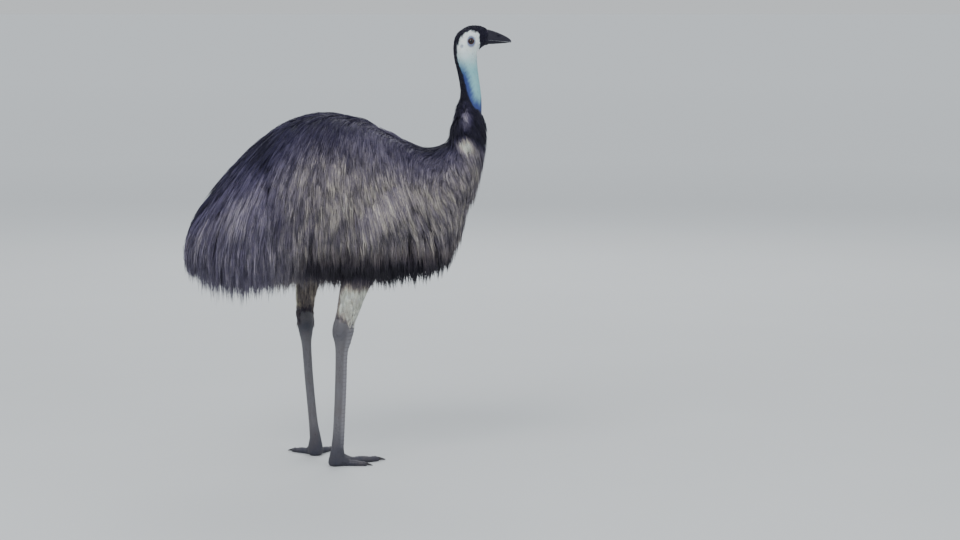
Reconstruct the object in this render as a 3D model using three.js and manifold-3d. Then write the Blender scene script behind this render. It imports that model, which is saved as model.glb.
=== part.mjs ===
// A life-size emu standing at rest, seen in three.js as one group of named solids.
// Millimetres, +Z up. The bird looks along +X, its left side is +Y, and its soles stand on Z = 0.
// One row of sections runs from the tips of the tail plume over the back and up the neck to the bill.
// Each section is set by a point of the upper outline and a point of the lower outline, so that the
// sections fan round the bends at the chest and at the throat, and neighbouring nodes share a section.
import * as THREE from "three";
import { mergeVertices } from "three/addons/utils/BufferGeometryUtils.js";
import Module from "manifold-3d";

const wasm = await Module();
wasm.setup();

// Driving dimensions, in millimetres and degrees
const GAP = 0.3; // kept between touching nodes
const SMOOTHED = 0.04; // steps smaller than this are smoothed away
const MERGED = 0.002; // corners closer than this are one
const BODY_SIDES = 20; // corners of a body section
const DROOP = 0.14; // how far the trunk is wider below its middle than above
const BARED = 0.5; // share of the plumage left off the core under the locks
const CORE = { bared: BARED, sides: 14 };
const EYE = { x: 408, y: 24.5, z: 1401, radius: 11.5 };
const LID = { radius: 10.6, tube: 2.1, squash: 0.86 };
const EAR = { x: 377, y: 33, z: 1386, long: 6, high: 8, deep: 4 };
const GAPE = { from: 436, z: 1399, deep: 17, high: 2.4 };
const NOSTRIL = { x: 501, y: 14, z: 1417, long: 9, high: 2.6, deep: 3.5 };
const BILL_BASE = 463;
const BILL_SIDES = 10;
const LEG_SIDES = 10;
const TOE_SIDES = 8;
const SCUTE_STEP = 1.1; // how far the free edge of a leg or toe scute stands out
const FEET = { joint: 50 }; // where the toes leave the foot, from the ankle

// Sections from tail to bill: upper outline, lower outline, half width. coat is the depth of the
// plumage at the top and sides, and skirt is how far it hangs below the body.
const SECTIONS = [
  { name: "tail tip", upper: [-549, 704], lower: [-545, 670], half: 26, coat: 26, skirt: 26 },
  { name: "plume end", upper: [-521, 805], lower: [-498, 600], half: 88, coat: 88, skirt: 150 },
  { name: "plume", upper: [-466, 893], lower: [-440, 542], half: 132, coat: 96, skirt: 205 },
  { name: "rump end", upper: [-400, 970], lower: [-378, 526], half: 166, coat: 78, skirt: 190 },
  { name: "rump", upper: [-322, 1047], lower: [-304, 548], half: 194, coat: 60, skirt: 142 },
  { name: "hips", upper: [-222, 1123], lower: [-215, 582], half: 214, coat: 52, skirt: 94 },
  { name: "hips front", upper: [-140, 1156], lower: [-135, 600], half: 224, coat: 48, skirt: 72 },
  { name: "back", upper: [-60, 1164], lower: [-50, 600], half: 227, coat: 48, skirt: 70 },
  { name: "mid back", upper: [42, 1147], lower: [50, 600], half: 222, coat: 50, skirt: 70 },
  { name: "shoulders", upper: [130, 1103], lower: [150, 602], half: 207, coat: 52, skirt: 66 },
  { name: "neck root", upper: [203, 1064], lower: [245, 612], half: 188, coat: 50, skirt: 54 },
  { name: "breast", upper: [254, 1044], lower: [326, 652], half: 160, coat: 46, skirt: 44 },
  { name: "chest", upper: [286, 1046], lower: [371, 744], half: 130, coat: 40, skirt: 34 },
  { name: "high chest", upper: [312, 1060], lower: [398, 846], half: 108, coat: 36, skirt: 32 },
  { name: "neck base", upper: [330, 1079], lower: [434, 925], half: 88, coat: 34, skirt: 30 },
  { name: "low neck", upper: [335, 1104], lower: [457, 1012], half: 72, coat: 30, skirt: 26 },
  { name: "ruff", upper: [346, 1142], lower: [463, 1092], half: 58, coat: 24, skirt: 22 },
  { name: "ruff top", upper: [361, 1184], lower: [452, 1160], half: 42, coat: 12, skirt: 10 },
  { name: "bare neck", upper: [373, 1218], lower: [444, 1208], half: 33, coat: 4, skirt: 2 },
  { name: "mid neck", upper: [371, 1260], lower: [439, 1256], half: 30, coat: 3, skirt: 2 },
  { name: "high neck", upper: [362, 1305], lower: [432, 1306], half: 30, coat: 3, skirt: 2 },
  { name: "throat", upper: [353, 1345], lower: [429, 1350], half: 32, coat: 3, skirt: 2 },
  { name: "nape", upper: [350, 1385], lower: [431, 1368], half: 33, coat: 3, skirt: 2 },
  { name: "rear crown", upper: [361, 1424], lower: [437, 1377], half: 33, coat: 3, skirt: 2 },
  { name: "crown", upper: [397, 1449], lower: [446, 1384], half: 31, coat: 3, skirt: 2 },
  { name: "forehead", upper: [436, 1451], lower: [453, 1388], half: 26, coat: 3, skirt: 2 },
  { name: "bill base", upper: [BILL_BASE, 1440], lower: [BILL_BASE, 1391], half: 20, coat: 2, skirt: 2 },
];
const sectionAt = (name) => SECTIONS.findIndex((section) => section.name === name);

// Legs: the middle line, then half depth (fore and aft) and half width at each named height.
// turn is the heading of the shank and foot, in degrees from straight ahead towards +Y.
const LEGS = {
  right: {
    side: -1,
    turn: 30,
    spread: { inner: 37, outer: 34 },
    thigh: [
      { at: [92, -92, 770], depth: 84, width: 62 },
      { at: [62, -94, 680], depth: 68, width: 54 },
      { at: [24, -96, 592], depth: 47, width: 43 },
      { at: [3, -95, 518], depth: 39, width: 33 },
      { at: [-10, -93, 480], depth: 36, width: 29 },
    ],
    shank: [
      { at: [-10, -93, 480], depth: 36, width: 29 },
      { at: [-15, -92, 448], depth: 37, width: 28 },
      { at: [-16, -91, 416], depth: 29, width: 22 },
      { at: [-20, -89, 374], depth: 20, width: 16 },
      { at: [-24, -87, 260], depth: 19, width: 14.5 },
      { at: [-31, -85, 120], depth: 19, width: 15 },
      { at: [-36, -84, 60], depth: 21, width: 20 },
    ],
  },
  left: {
    side: 1,
    turn: 99,
    spread: { inner: 44, outer: 48 },
    thigh: [
      { at: [-70, 90, 770], depth: 84, width: 62 },
      { at: [-112, 95, 680], depth: 64, width: 50 },
      { at: [-144, 98, 592], depth: 42, width: 36 },
      { at: [-153, 97, 518], depth: 34, width: 29 },
      { at: [-154, 95, 480], depth: 33, width: 28 },
    ],
    shank: [
      { at: [-154, 95, 480], depth: 33, width: 28 },
      { at: [-152, 93, 448], depth: 35, width: 27 },
      { at: [-151, 93, 416], depth: 28, width: 22 },
      { at: [-149, 95, 374], depth: 20, width: 16 },
      { at: [-142, 98, 260], depth: 19, width: 14.5 },
      { at: [-130, 100, 120], depth: 19, width: 15 },
      { at: [-123, 100, 60], depth: 21, width: 19 },
    ],
  },
};
const WING = {
  x: 120,
  y: 205,
  z: 880,
  long: 100,
  high: 36,
  deep: 17,
  droop: 42,
  width: 54,
  // root, length and lean of each lock
  locks: [
    [62, 858, 150, -34],
    [100, 894, 158, -26],
    [138, 930, 162, -18],
    [176, 956, 150, -6],
  ],
};
const THIGH = {
  coat: 7,
  round: 6,
  rows: [
    { from: 0.34, to: 0.8, width: 44 },
    { from: 0.62, to: 0.985, width: 36 },
  ],
};
const SHANK_SCUTES = 14;
const TOES = {
  inner: { length: 92, width: 11.5, height: 19, scutes: 4, claw: 18 },
  middle: { length: 152, width: 14, height: 23, scutes: 7, claw: 26 },
  outer: { length: 98, width: 11.5, height: 19, scutes: 4, claw: 18 },
};

const SKIN = {
  plume: { color: 0x4b4346, roughness: 0.9, metalness: 0 },
  dark: { color: 0x1f1c22, roughness: 0.85, metalness: 0 },
  blue: { color: 0xa9c3c8, roughness: 0.6, metalness: 0 },
  bill: { color: 0x2b272c, roughness: 0.5, metalness: 0 },
  eye: { color: 0x2a1a14, roughness: 0.1, metalness: 0 },
  scale: { color: 0x5b5560, roughness: 0.7, metalness: 0 },
  claw: { color: 0x26242a, roughness: 0.45, metalness: 0 },
};

// Locks: height at the root, past it along the spine and at the tip, how far the body turns under before a lock hangs free
// and before no lock grows, and the widths along a lock
const LOCK = {
  rings: 4,
  root: -0.6,
  ridge: 0.5,
  reach: [0.9, 1.08],
  under: -0.25,
  behind: 0.4,
  bare: -0.4,
  hem: -0.45,
  shortest: 0.45,
};
const LEAF = [0.75, 1, 0.92, 0.62];
const TAIL_CORE = 0.6; // place where the core of the tail ends
const COATS = {
  torso: {
    from: sectionAt("hips") - 0.2,
    to: sectionAt("neck base"),
    rows: 7,
    apart: 86,
    hem: 10,
    width: 68,
    thick: 9,
    start: 0.3,
    length: () => 210,
    seed: 15,
  },
  tail: {
    from: TAIL_CORE,
    to: sectionAt("hips"),
    rows: 5,
    apart: 76,
    hem: 5,
    width: 64,
    thick: 9,
    start: 0.3,
    length: (place) => lerp(290, 240, place / sectionAt("hips")),
    seed: 23,
  },
  neck: {
    from: sectionAt("neck base"),
    to: sectionAt("bare neck"),
    rows: 4,
    apart: 66,
    hem: 0,
    width: 46,
    thick: 6,
    start: 0.6,
    length: () => 122,
    seed: 37,
  },
};

const vec = (x, y, z) => new THREE.Vector3(x, y, z);
const { degToRad, lerp, smoothstep } = THREE.MathUtils;
const middle = (points) =>
  points.reduce((sum, p) => sum.add(p), vec(0, 0, 0)).divideScalar(points.length);

// A closed surface over rings with the same number of corners. Each end is closed round one point.
function loft(rings, start = middle(rings[0]), end = middle(rings.at(-1))) {
  const sides = rings[0].length;
  const corners = [...rings.flat(), start, end];
  const faces = [];
  for (let ring = 0; ring + 1 < rings.length; ring++)
    for (let side = 0; side < sides; side++) {
      const a = ring * sides + side;
      const b = ring * sides + ((side + 1) % sides);
      faces.push(a, b, b + sides, a, b + sides, a + sides);
    }
  const last = (rings.length - 1) * sides;
  for (let side = 0; side < sides; side++) {
    const next = (side + 1) % sides;
    faces.push(rings.length * sides, next, side);
    faces.push(rings.length * sides + 1, last + side, last + next);
  }
  const geometry = new THREE.BufferGeometry().setFromPoints(corners);
  geometry.setIndex(faces);
  return solid(geometry);
}

// A geometry as a solid for joining and cutting, turned so that its faces point out
function solid(geometry) {
  const vertProperties = new Float32Array(geometry.getAttribute("position").array);
  const triVerts = new Uint32Array(geometry.index.array);
  const corner = (n) => new THREE.Vector3().fromArray(vertProperties, triVerts[n] * 3);
  let volume = 0;
  for (let n = 0; n < triVerts.length; n += 3)
    volume += corner(n).dot(corner(n + 1).cross(corner(n + 2)));
  if (volume < 0)
    for (let n = 0; n < triVerts.length; n += 3)
      [triVerts[n + 1], triVerts[n + 2]] = [triVerts[n + 2], triVerts[n + 1]];
  return new wasm.Manifold(new wasm.Mesh({ numProp: 3, vertProperties, triVerts }));
}

// A stock three.js geometry as a solid, with its shared corners merged
function stock(geometry) {
  const bare = new THREE.BufferGeometry();
  bare.setAttribute("position", geometry.getAttribute("position"));
  bare.setIndex(geometry.index);
  return solid(mergeVertices(bare, 1e-3));
}

const join = (solids) => solids.reduce((whole, next) => whole.add(next));
const largest = (whole) =>
  whole.decompose().sort((a, b) => b.volume() - a.volume())[0];

// The largest closed surface of a solid, with corners that nearly touch merged
function cleaned(whole) {
  const made = largest(whole).getMesh();
  const geometry = new THREE.BufferGeometry();
  geometry.setAttribute("position", new THREE.BufferAttribute(made.vertProperties, 3));
  geometry.setIndex(new THREE.BufferAttribute(made.triVerts, 1));
  return largest(solid(mergeVertices(geometry, MERGED)));
}

function meshOf(name, whole, finish) {
  const made = cleaned(cleaned(whole).simplify(SMOOTHED)).getMesh();
  const geometry = new THREE.BufferGeometry();
  geometry.setAttribute("position", new THREE.BufferAttribute(made.vertProperties, 3));
  geometry.setIndex(new THREE.BufferAttribute(made.triVerts, 1));
  geometry.computeVertexNormals();
  const mesh = new THREE.Mesh(geometry, new THREE.MeshStandardMaterial(finish));
  mesh.name = name;
  return mesh;
}

// Smooth curves through the sections: the upper one carries the half width, the lower one the skirt
const curve = (points) => new THREE.CatmullRomCurve3(points, false, "catmullrom", 0.5);
const upperLine = curve(SECTIONS.map(({ upper, half }) => vec(upper[0], half, upper[1])));
const lowerLine = curve(SECTIONS.map(({ lower, skirt }) => vec(lower[0], skirt, lower[1])));
const coatLine = curve(SECTIONS.map(({ coat }, n) => vec(n, coat, 0)));

// The section at a place along the row, bared by a share of the coat: its middle, its half depth
// and half width, its upward and forward directions
function section(place, bared = 0) {
  const t = place / (SECTIONS.length - 1);
  const upper = upperLine.getPoint(t);
  const lower = lowerLine.getPoint(t);
  const coat = coatLine.getPoint(t).y * bared;
  const skirt = lower.y * Math.min(1, bared * 2);
  const width = upper.y - coat;
  const up = vec(upper.x - lower.x, 0, upper.z - lower.z).normalize();
  const top = vec(upper.x, 0, upper.z).addScaledVector(up, -coat);
  const foot = vec(lower.x, 0, lower.z).addScaledVector(up, skirt);
  return {
    centre: top.clone().add(foot).multiplyScalar(0.5),
    depth: top.distanceTo(foot) / 2,
    width,
    up,
    ahead: vec(up.z, 0, -up.x),
    droop: DROOP * (1 - smoothstep(place, sectionAt("breast"), sectionAt("low neck"))),
  };
}

// A point of a section, its turn counted from the spine and down the left side
function sectionPoint({ centre, depth, width, up, droop }, turn, grow = 0) {
  const rise = Math.cos(turn);
  return centre
    .clone()
    .addScaledVector(up, (depth + grow) * rise)
    .add(vec(0, (width + grow) * Math.sin(turn) * (1 - droop * rise), 0));
}

// A ring of corners round a section, grown all round and moved ahead where that is asked
function bodyRing(place, { bared = 0, grow = 0, shift = 0, sides = BODY_SIDES } = {}) {
  const cut = section(place, bared);
  return Array.from({ length: sides }, (_, n) =>
    sectionPoint(cut, (2 * Math.PI * n) / sides, grow).addScaledVector(cut.ahead, shift),
  );
}

// A stretch of the body between two places
function bodyStretch(from, to, rings, options = {}) {
  const { grow = 0 } = options;
  const row = Array.from({ length: rings }, (_, n) => {
    const share = n / (rings - 1);
    const shift = n === 0 ? GAP / 2 - grow : n === rings - 1 ? grow - GAP / 2 : 0;
    return bodyRing(lerp(from, to, share), { ...options, shift });
  });
  return loft(row);
}

// The way the plumage lies at a point: it parts along the spine, runs back and out over the top,
// hangs down the sides, and leans forward over the breast and back over the rump
function lie(point, out) {
  const top = smoothstep(out.z, 0.2, 0.95);
  const lean = 0.3 * smoothstep(point.x, 40, 300) - 0.34 * smoothstep(-point.x, 80, 480);
  const part =
    lerp(0.4, 0.95, smoothstep(point.x, -450, -50)) * smoothstep(Math.abs(point.y), 5, 100);
  const pull = vec(lerp(lean, -1.25, top), Math.sign(point.y) * part * top, -1);
  return pull.addScaledVector(out, -pull.dot(out)).normalize();
}

// A point in the plumage: height 0 is on the core and height 1 on the outline
const plumePoint = (place, turn, height) =>
  sectionPoint(section(place, BARED * (1 - height)), turn);

// The lowest the fringe hangs at a distance along the bird
function fringe(x) {
  let nearest = null;
  for (let n = 0; n <= 120; n++) {
    const point = lowerLine.getPoint((n / 120) * (sectionAt("chest") / (SECTIONS.length - 1)));
    if (!nearest || Math.abs(point.x - x) < Math.abs(nearest.x - x)) nearest = point;
  }
  return nearest.z;
}

// The path of a lock: from inside the core it rises to the outline, follows the lie, and hangs
// free where the body turns under
function plumePath({ place, turn, length = 1, start = 1, reach = 1, curl = 0 }) {
  const steps = LOCK.rings;
  const step = length / steps;
  const path = [];
  let free = null;
  for (let n = 0; n <= steps; n++) {
    if (free) {
      const last = path.at(-1);
      const ahead = free.clone().lerp(vec(0, 0, -1), 0.35).normalize();
      free = ahead;
      const point = last.point.clone().addScaledVector(ahead, step);
      path.push({ point, out: last.out, ahead });
      continue;
    }
    const height = n ? lerp(start, reach, n / steps) : LOCK.root;
    const point = plumePoint(place, turn, height);
    const along = plumePoint(place + 0.02, turn, height).sub(point).divideScalar(0.02);
    const round = plumePoint(place, turn + 0.02, height).sub(point).divideScalar(0.02);
    const out = along.clone().cross(round).normalize();
    if (n === 0) start = lerp(start, LOCK.ridge, smoothstep(out.z, 0.2, 0.95));
    const ahead = lie(point, out).applyAxisAngle(out, curl * (n / steps - 0.4));
    path.push({ point, out, ahead });
    const [aa, ab, bb] = [along.dot(along), along.dot(round), round.dot(round)];
    const [a, b] = [ahead.dot(along) * step, ahead.dot(round) * step];
    const scale = aa * bb - ab * ab;
    place += (a * bb - b * ab) / scale;
    turn += (b * aa - a * ab) / scale;
    if (out.z < LOCK.under || place < LOCK.behind) free = ahead;
  }
  return path;
}

// A flat, tapered lock along its path, a low roof in section with the ridge outward
function lock({ path, width, thick, roll = 0 }, grow = 0) {
  const rings = path.slice(0, -1).map(({ point, out, ahead }, n) => {
    const share = n / (path.length - 1);
    const half = (width / 2) * LEAF[n];
    const high = thick * lerp(1, 0.45, share);
    const inner = (half * high) / (half + Math.hypot(half, high));
    const size = 1 + grow / inner;
    const turned = out.clone().applyAxisAngle(ahead, roll);
    const across = turned.clone().cross(ahead).normalize();
    const rise = ahead.clone().cross(across).normalize();
    return [[-half, 0], [half, 0], [0, high]].map(([side, up]) =>
      point
        .clone()
        .addScaledVector(across, side * size)
        .addScaledVector(rise, inner + (up - inner) * size),
    );
  });
  const { point, ahead } = path.at(-1);
  return loft(rings, middle(rings[0]), point.clone().addScaledVector(ahead, grow * 8));
}

const { seededRandom } = THREE.MathUtils;
const about = (value, spread) => value * (1 + spread * (2 * seededRandom() - 1));

// Locks rooted in staggered rows between two places, and in a hem along each side. A lock too
// long for the fringe is shortened.
function coat({ from, to, rows, apart, hem, width, thick, start, length, seed }) {
  seededRandom(seed);
  const roots = [];
  const step = (to - from) / rows;
  for (let row = 0; row < rows; row++) {
    const place = from + step * (row + 0.5);
    const { depth, width: half } = section(place, BARED);
    const count = Math.max(3, Math.round((Math.PI * (depth + half)) / apart / 2)) * 2;
    const round = (2 * Math.PI) / count;
    for (let n = 0; n < count; n++) {
      const root = {
        place: place + step * 0.3 * (seededRandom() - 0.5),
        turn: round * (n + 0.5 * ((row % 2) + 0.5) + 0.35 * (seededRandom() - 0.5)),
        least: LOCK.shortest,
      };
      if (plumePath(root)[0].out.z > LOCK.bare)
        roots.push(root);
    }
  }
  for (let n = 0; n < hem; n++)
    for (const side of [-1, 1]) {
      const place = lerp(from, to, (n + 0.5 + 0.25 * side) / hem);
      roots.push({ place, turn: side * hemTurn(place), least: 0.2 });
    }
  return roots.flatMap(({ place, turn, least }) => {
    const full = about(length(place), 0.14);
    const reach = lerp(LOCK.reach[0], LOCK.reach[1], seededRandom());
    const curl = 0.5 * (seededRandom() - 0.5);
    const over = 14 * seededRandom();
    const shape = {
      width: about(width, 0.16),
      thick: about(thick, 0.12),
      roll: 0.24 * (seededRandom() - 0.5),
    };
    let share = 1;
    let path = plumePath({ place, turn, length: full, start, reach, curl });
    while (share > least && path.at(-1).point.z < fringe(path.at(-1).point.x) - over) {
      share *= 0.93;
      path = plumePath({ place, turn, length: full * share, start, reach, curl });
    }
    return share > least ? [{ path, ...shape }] : [];
  });
}

// The turn at which the core of the body curves under, where the hem of the plumage grows
function hemTurn(place) {
  for (let turn = 1.2; turn < Math.PI; turn += 0.04)
    if (plumePath({ place, turn })[0].out.z < LOCK.hem) return turn;
  return Math.PI / 2;
}

const coats = {
  torso: coat(COATS.torso),
  tail: coat(COATS.tail),
  neck: coat(COATS.neck),
};
const cores = {
  torso: (grow) =>
    bodyStretch(sectionAt("hips"), sectionAt("neck base"), 10, { ...CORE, grow }),
  tail: (grow) => bodyStretch(TAIL_CORE, sectionAt("hips"), 6, { ...CORE, grow }),
  neck: (grow) =>
    bodyStretch(sectionAt("neck base"), sectionAt("bare neck"), 6, { ...CORE, grow }),
};
const shaggy = (name, grow = 0) =>
  join([cores[name](grow), ...coats[name].map((one) => lock(one, grow))]);

function upperNeck() {
  return bodyStretch(sectionAt("bare neck"), sectionAt("nape"), 9);
}

const eyeball = (side, grow = 0) =>
  stock(new THREE.SphereGeometry(EYE.radius + grow, 12, 8).translate(EYE.x, side * EYE.y, EYE.z));

// A raised lid ring that the eyeball fills
function lids(side) {
  const ring = new THREE.TorusGeometry(LID.radius, LID.tube, 5, 14);
  ring.scale(1, LID.squash, 1).rotateX(Math.PI / 2);
  return stock(ring.translate(EYE.x, side * (EYE.y + 5.2), EYE.z));
}

const hollow = ({ x, y, z, long, high, deep }, side) =>
  stock(
    new THREE.SphereGeometry(1, 8, 6).scale(long, deep, high).translate(x, side * y, z),
  );

// The corner of the mouth, cut into the cheek on from the line between the two halves of the bill
function gape(side) {
  const rows = [GAPE.from, BILL_BASE + 1].map((x) => {
    const z = lerp(GAPE.z, BILL[0].mouth, (x - GAPE.from) / (BILL_BASE - GAPE.from));
    return [[GAPE.deep, 0], [40, GAPE.high], [40, -GAPE.high]].map(([y, rise]) =>
      vec(x, side * y, z + rise),
    );
  });
  return loft(rows);
}

function head() {
  const skull = bodyStretch(sectionAt("nape"), sectionAt("bill base"), 8);
  const built = join([skull, lids(-1), lids(1)]).subtract(gape(-1)).subtract(gape(1));
  return [-1, 1].reduce(
    (whole, side) => whole.subtract(eyeball(side, GAP)).subtract(hollow(EAR, side)),
    built,
  );
}

// The bill: culmen, mouth line and underside at distances ahead of the bill's base
const BILL = [
  { ahead: 0, culmen: 1440, mouth: 1404, under: 1391, half: 20 },
  { ahead: 18, culmen: 1434.5, mouth: 1403.5, under: 1391.5, half: 17.5 },
  { ahead: 38, culmen: 1427, mouth: 1403, under: 1393, half: 14.5 },
  { ahead: 56, culmen: 1418.5, mouth: 1401.5, under: 1394, half: 11 },
  { ahead: 68, culmen: 1411, mouth: 1400, under: 1395, half: 7.5 },
];
const BILL_TIP = { ahead: 78, upper: 1401.5, lowerAhead: 73, lower: 1397.5 };

// A half section of the bill: flat along the mouth line and arched to its crest
function billRing(ahead, crest, mouth, half) {
  return Array.from({ length: BILL_SIDES }, (_, n) => {
    const angle = (Math.PI * n) / (BILL_SIDES - 1);
    return vec(
      BILL_BASE + GAP + ahead,
      half * Math.cos(angle),
      mouth + (crest - mouth) * Math.sin(angle) ** 0.9,
    );
  });
}

function upperBill() {
  const rows = BILL.map(({ ahead, culmen, mouth, half }) =>
    billRing(ahead, culmen, mouth + GAP / 2, half),
  );
  const tip = vec(BILL_BASE + BILL_TIP.ahead, 0, BILL_TIP.upper);
  return [-1, 1].reduce(
    (whole, side) => whole.subtract(hollow(NOSTRIL, side)),
    loft(rows, middle(rows[0]), tip),
  );
}

function lowerBill() {
  const rows = BILL.map(({ ahead, mouth, under, half }) =>
    billRing(ahead, under, mouth - GAP / 2, half * 0.93),
  );
  const tip = vec(BILL_BASE + BILL_TIP.lowerAhead, 0, BILL_TIP.lower);
  return loft(rows, middle(rows[0]), tip);
}

// The small folded wing, lying along the shoulder under a few locks of its own
function wing(side, grow = 0) {
  const pad = new THREE.SphereGeometry(1, 10, 6)
    .scale(WING.long + grow, WING.deep + grow, WING.high + grow)
    .rotateY(degToRad(-WING.droop))
    .translate(WING.x, side * WING.y, WING.z);
  const locks = WING.locks.map(([x, z, length, lean], n) => {
    const path = Array.from({ length: 5 }, (_, step) => {
      const share = step / 4;
      const y = WING.y + lerp(-6, WING.deep + 3, Math.min(1, share * 1.6)) - 22 * share ** 3;
      const point = vec(x + lean * share, side * y, z - length * share);
      const ahead = vec(lean, side * (14 - 60 * share ** 2), -length).normalize();
      return { point, out: vec(0, side, 0.08), ahead };
    });
    return lock({ path, width: WING.width, thick: 7, roll: 0.12 * (n - 1.5) }, grow);
  });
  return join([stock(pad), ...locks]);
}

// A ring of a leg: depth runs along the leg's heading and width across it
function legRing({ at, depth, width }, turn, { grow = 0, front = 0, lift = 0 } = {}) {
  const heading = vec(Math.cos(degToRad(turn)), Math.sin(degToRad(turn)), 0);
  const across = vec(-heading.y, heading.x, 0);
  return Array.from({ length: LEG_SIDES }, (_, n) => {
    const angle = (2 * Math.PI * n) / LEG_SIDES;
    const reach = depth + grow + front * Math.max(0, Math.cos(angle));
    return vec(...at)
      .addScaledVector(heading, reach * Math.cos(angle))
      .addScaledVector(across, (width + grow) * Math.sin(angle))
      .add(vec(0, 0, lift));
  });
}

// Smooth values along a list of leg rings
function legLine(stations) {
  const line = new THREE.CatmullRomCurve3(stations.map(({ at }) => vec(...at)));
  const sizes = new THREE.CatmullRomCurve3(
    stations.map(({ depth, width }) => vec(depth, width, 0)),
  );
  return (share) => {
    const size = sizes.getPoint(share);
    return { at: line.getPoint(share).toArray(), depth: size.x, width: size.y };
  };
}

function thigh({ thigh: stations, turn }) {
  const along = legLine(stations);
  const heading = (share) => turn * smoothstep(share, 0, 1);
  const bared = (share) => {
    const { at, depth, width } = along(share);
    const bare = THIGH.coat * (1 - smoothstep(share, 0.9, 1));
    return { at, depth: depth - bare, width: width - bare };
  };
  const rings = [0, 0.25, 0.5, 0.75, 0.92, 1].map((share) =>
    legRing(bared(share), heading(share), { lift: share === 1 ? GAP / 2 : 0 }),
  );
  const locks = THIGH.rows.flatMap((row, which) =>
    Array.from({ length: THIGH.round }, (_, n) => {
      const angle = ((n + 0.5 * which) / THIGH.round) * 2 * Math.PI;
      const path = Array.from({ length: 5 }, (_, step) => {
        const share = lerp(row.from, row.to, step / 4);
        const { at, depth, width } = along(share);
        const spin = angle + degToRad(heading(share));
        const out = vec(Math.cos(spin), Math.sin(spin), 0);
        const reach = 1 / Math.hypot(Math.cos(angle) / depth, Math.sin(angle) / width);
        const rise = step ? lerp(-5, 2, step / 4) : -16;
        return { point: vec(...at).addScaledVector(out, reach + rise), out, share };
      });
      path.forEach((one, step) => {
        const [last, next] = [path[Math.min(step, 3)], path[Math.min(step, 3) + 1]];
        one.ahead = next.point.clone().sub(last.point).normalize();
      });
      return lock({ path, width: row.width, thick: 6 });
    }),
  );
  return join([loft(rings), ...locks]);
}

// The shank, with scutes down its front: each widens to a free lower edge and steps back in
function shank({ shank: stations, turn }) {
  const along = legLine(stations);
  const first = 0.3; // where the scutes begin
  const rows = [0, 0.08, 0.16, 0.24].map((share, n) =>
    legRing(along(share), turn, { lift: n === 0 ? -GAP / 2 : 0 }),
  );
  for (let n = 0; n < SHANK_SCUTES; n++) {
    const from = lerp(first, 1, n / SHANK_SCUTES);
    const to = lerp(first, 1, (n + 0.93) / SHANK_SCUTES);
    const last = n === SHANK_SCUTES - 1;
    rows.push(legRing(along(from), turn));
    rows.push(
      legRing(along(last ? 1 : to), turn, { front: SCUTE_STEP, lift: last ? GAP / 2 : 0 }),
    );
  }
  return loft(rows);
}

// Where a toe's middle line runs: from the ankle along its own heading
function toeFrame(leg, toe) {
  const splay = toe === "middle" ? 0 : toe === "inner" ? leg.spread.inner : leg.spread.outer;
  const outward = toe === "inner" ? -leg.side : leg.side;
  const angle = degToRad(leg.turn + outward * splay);
  const [x, y] = leg.shank.at(-1).at;
  return { origin: vec(x, y, 0), heading: vec(Math.cos(angle), Math.sin(angle), 0) };
}

// A toe ring: flat sole, full sides and a rounded top
function toeRing({ origin, heading }, reach, half, sole, top) {
  const across = vec(-heading.y, heading.x, 0);
  return Array.from({ length: TOE_SIDES }, (_, n) => {
    const angle = (2 * Math.PI * (n + 0.5)) / TOE_SIDES;
    const height = Math.max(sole, lerp(sole, top, 0.5 - 0.62 * Math.cos(angle)));
    return origin
      .clone()
      .addScaledVector(heading, reach)
      .addScaledVector(across, half * Math.sin(angle))
      .setZ(Math.min(top, height));
  });
}

// Height and width of a toe along its length, with a pad under each joint
function toeSize({ length, width, height }, reach) {
  const share = reach / length;
  const pad = Math.abs(Math.sin(share * Math.PI * 2.5));
  return {
    half: width * lerp(1.12, 0.62, share) * lerp(0.92, 1.04, pad),
    top: height * lerp(1.25, 0.62, share),
    sole: 0,
  };
}

function toe(leg, name) {
  const size = TOES[name];
  const frame = toeFrame(leg, name);
  const rows = [];
  const steps = size.scutes;
  for (let n = 0; n < steps; n++) {
    const from = lerp(FEET.joint + GAP, size.length, n / steps);
    const to = lerp(FEET.joint + GAP, size.length, (n + 0.9) / steps);
    const a = toeSize(size, from);
    const b = toeSize(size, to);
    rows.push(toeRing(frame, from, a.half, a.sole, a.top));
    rows.push(toeRing(frame, to, b.half + SCUTE_STEP / 2, b.sole, b.top + SCUTE_STEP));
  }
  return loft(rows);
}

function claw(leg, name) {
  const size = TOES[name];
  const frame = toeFrame(leg, name);
  const base = toeSize(size, size.length);
  const start = size.length + GAP - (size.length - FEET.joint) * (0.1 / size.scutes);
  const rows = [0, 0.35, 0.7].map((share) =>
    toeRing(
      frame,
      start + share * size.claw,
      base.half * lerp(0.8, 0.3, share),
      1,
      base.top * lerp(0.8, 0.32, share),
    ),
  );
  const tip = frame.origin.clone().addScaledVector(frame.heading, start + size.claw);
  return loft(rows, middle(rows[0]), tip.setZ(2.5));
}

// The foot: the ankle down to the sole, the heel pad and the roots of the three toes
function foot(leg) {
  const end = leg.shank.at(-1);
  const [x, y, z] = end.at;
  const rows = [
    legRing({ ...end, at: [x, y, z - GAP] }, leg.turn, { front: SCUTE_STEP }),
    legRing({ at: [x, y, 40], depth: 25, width: 24 }, leg.turn),
    legRing({ at: [x, y, 20], depth: 28, width: 26 }, leg.turn),
    legRing({ at: [x, y, 5], depth: 28, width: 25 }, leg.turn),
    legRing({ at: [x, y, 0], depth: 24, width: 21 }, leg.turn),
  ];
  const roots = Object.entries(TOES).map(([name, size]) => {
    const frame = toeFrame(leg, name);
    const near = toeSize(size, FEET.joint);
    return loft(
      [4, FEET.joint].map((reach) => toeRing(frame, reach, near.half, near.sole, near.top)),
    );
  });
  return join([loft(rows), ...roots]);
}

const bird = new THREE.Group();
const show = (name, whole, finish) => bird.add(meshOf(name, whole, finish));

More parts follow.
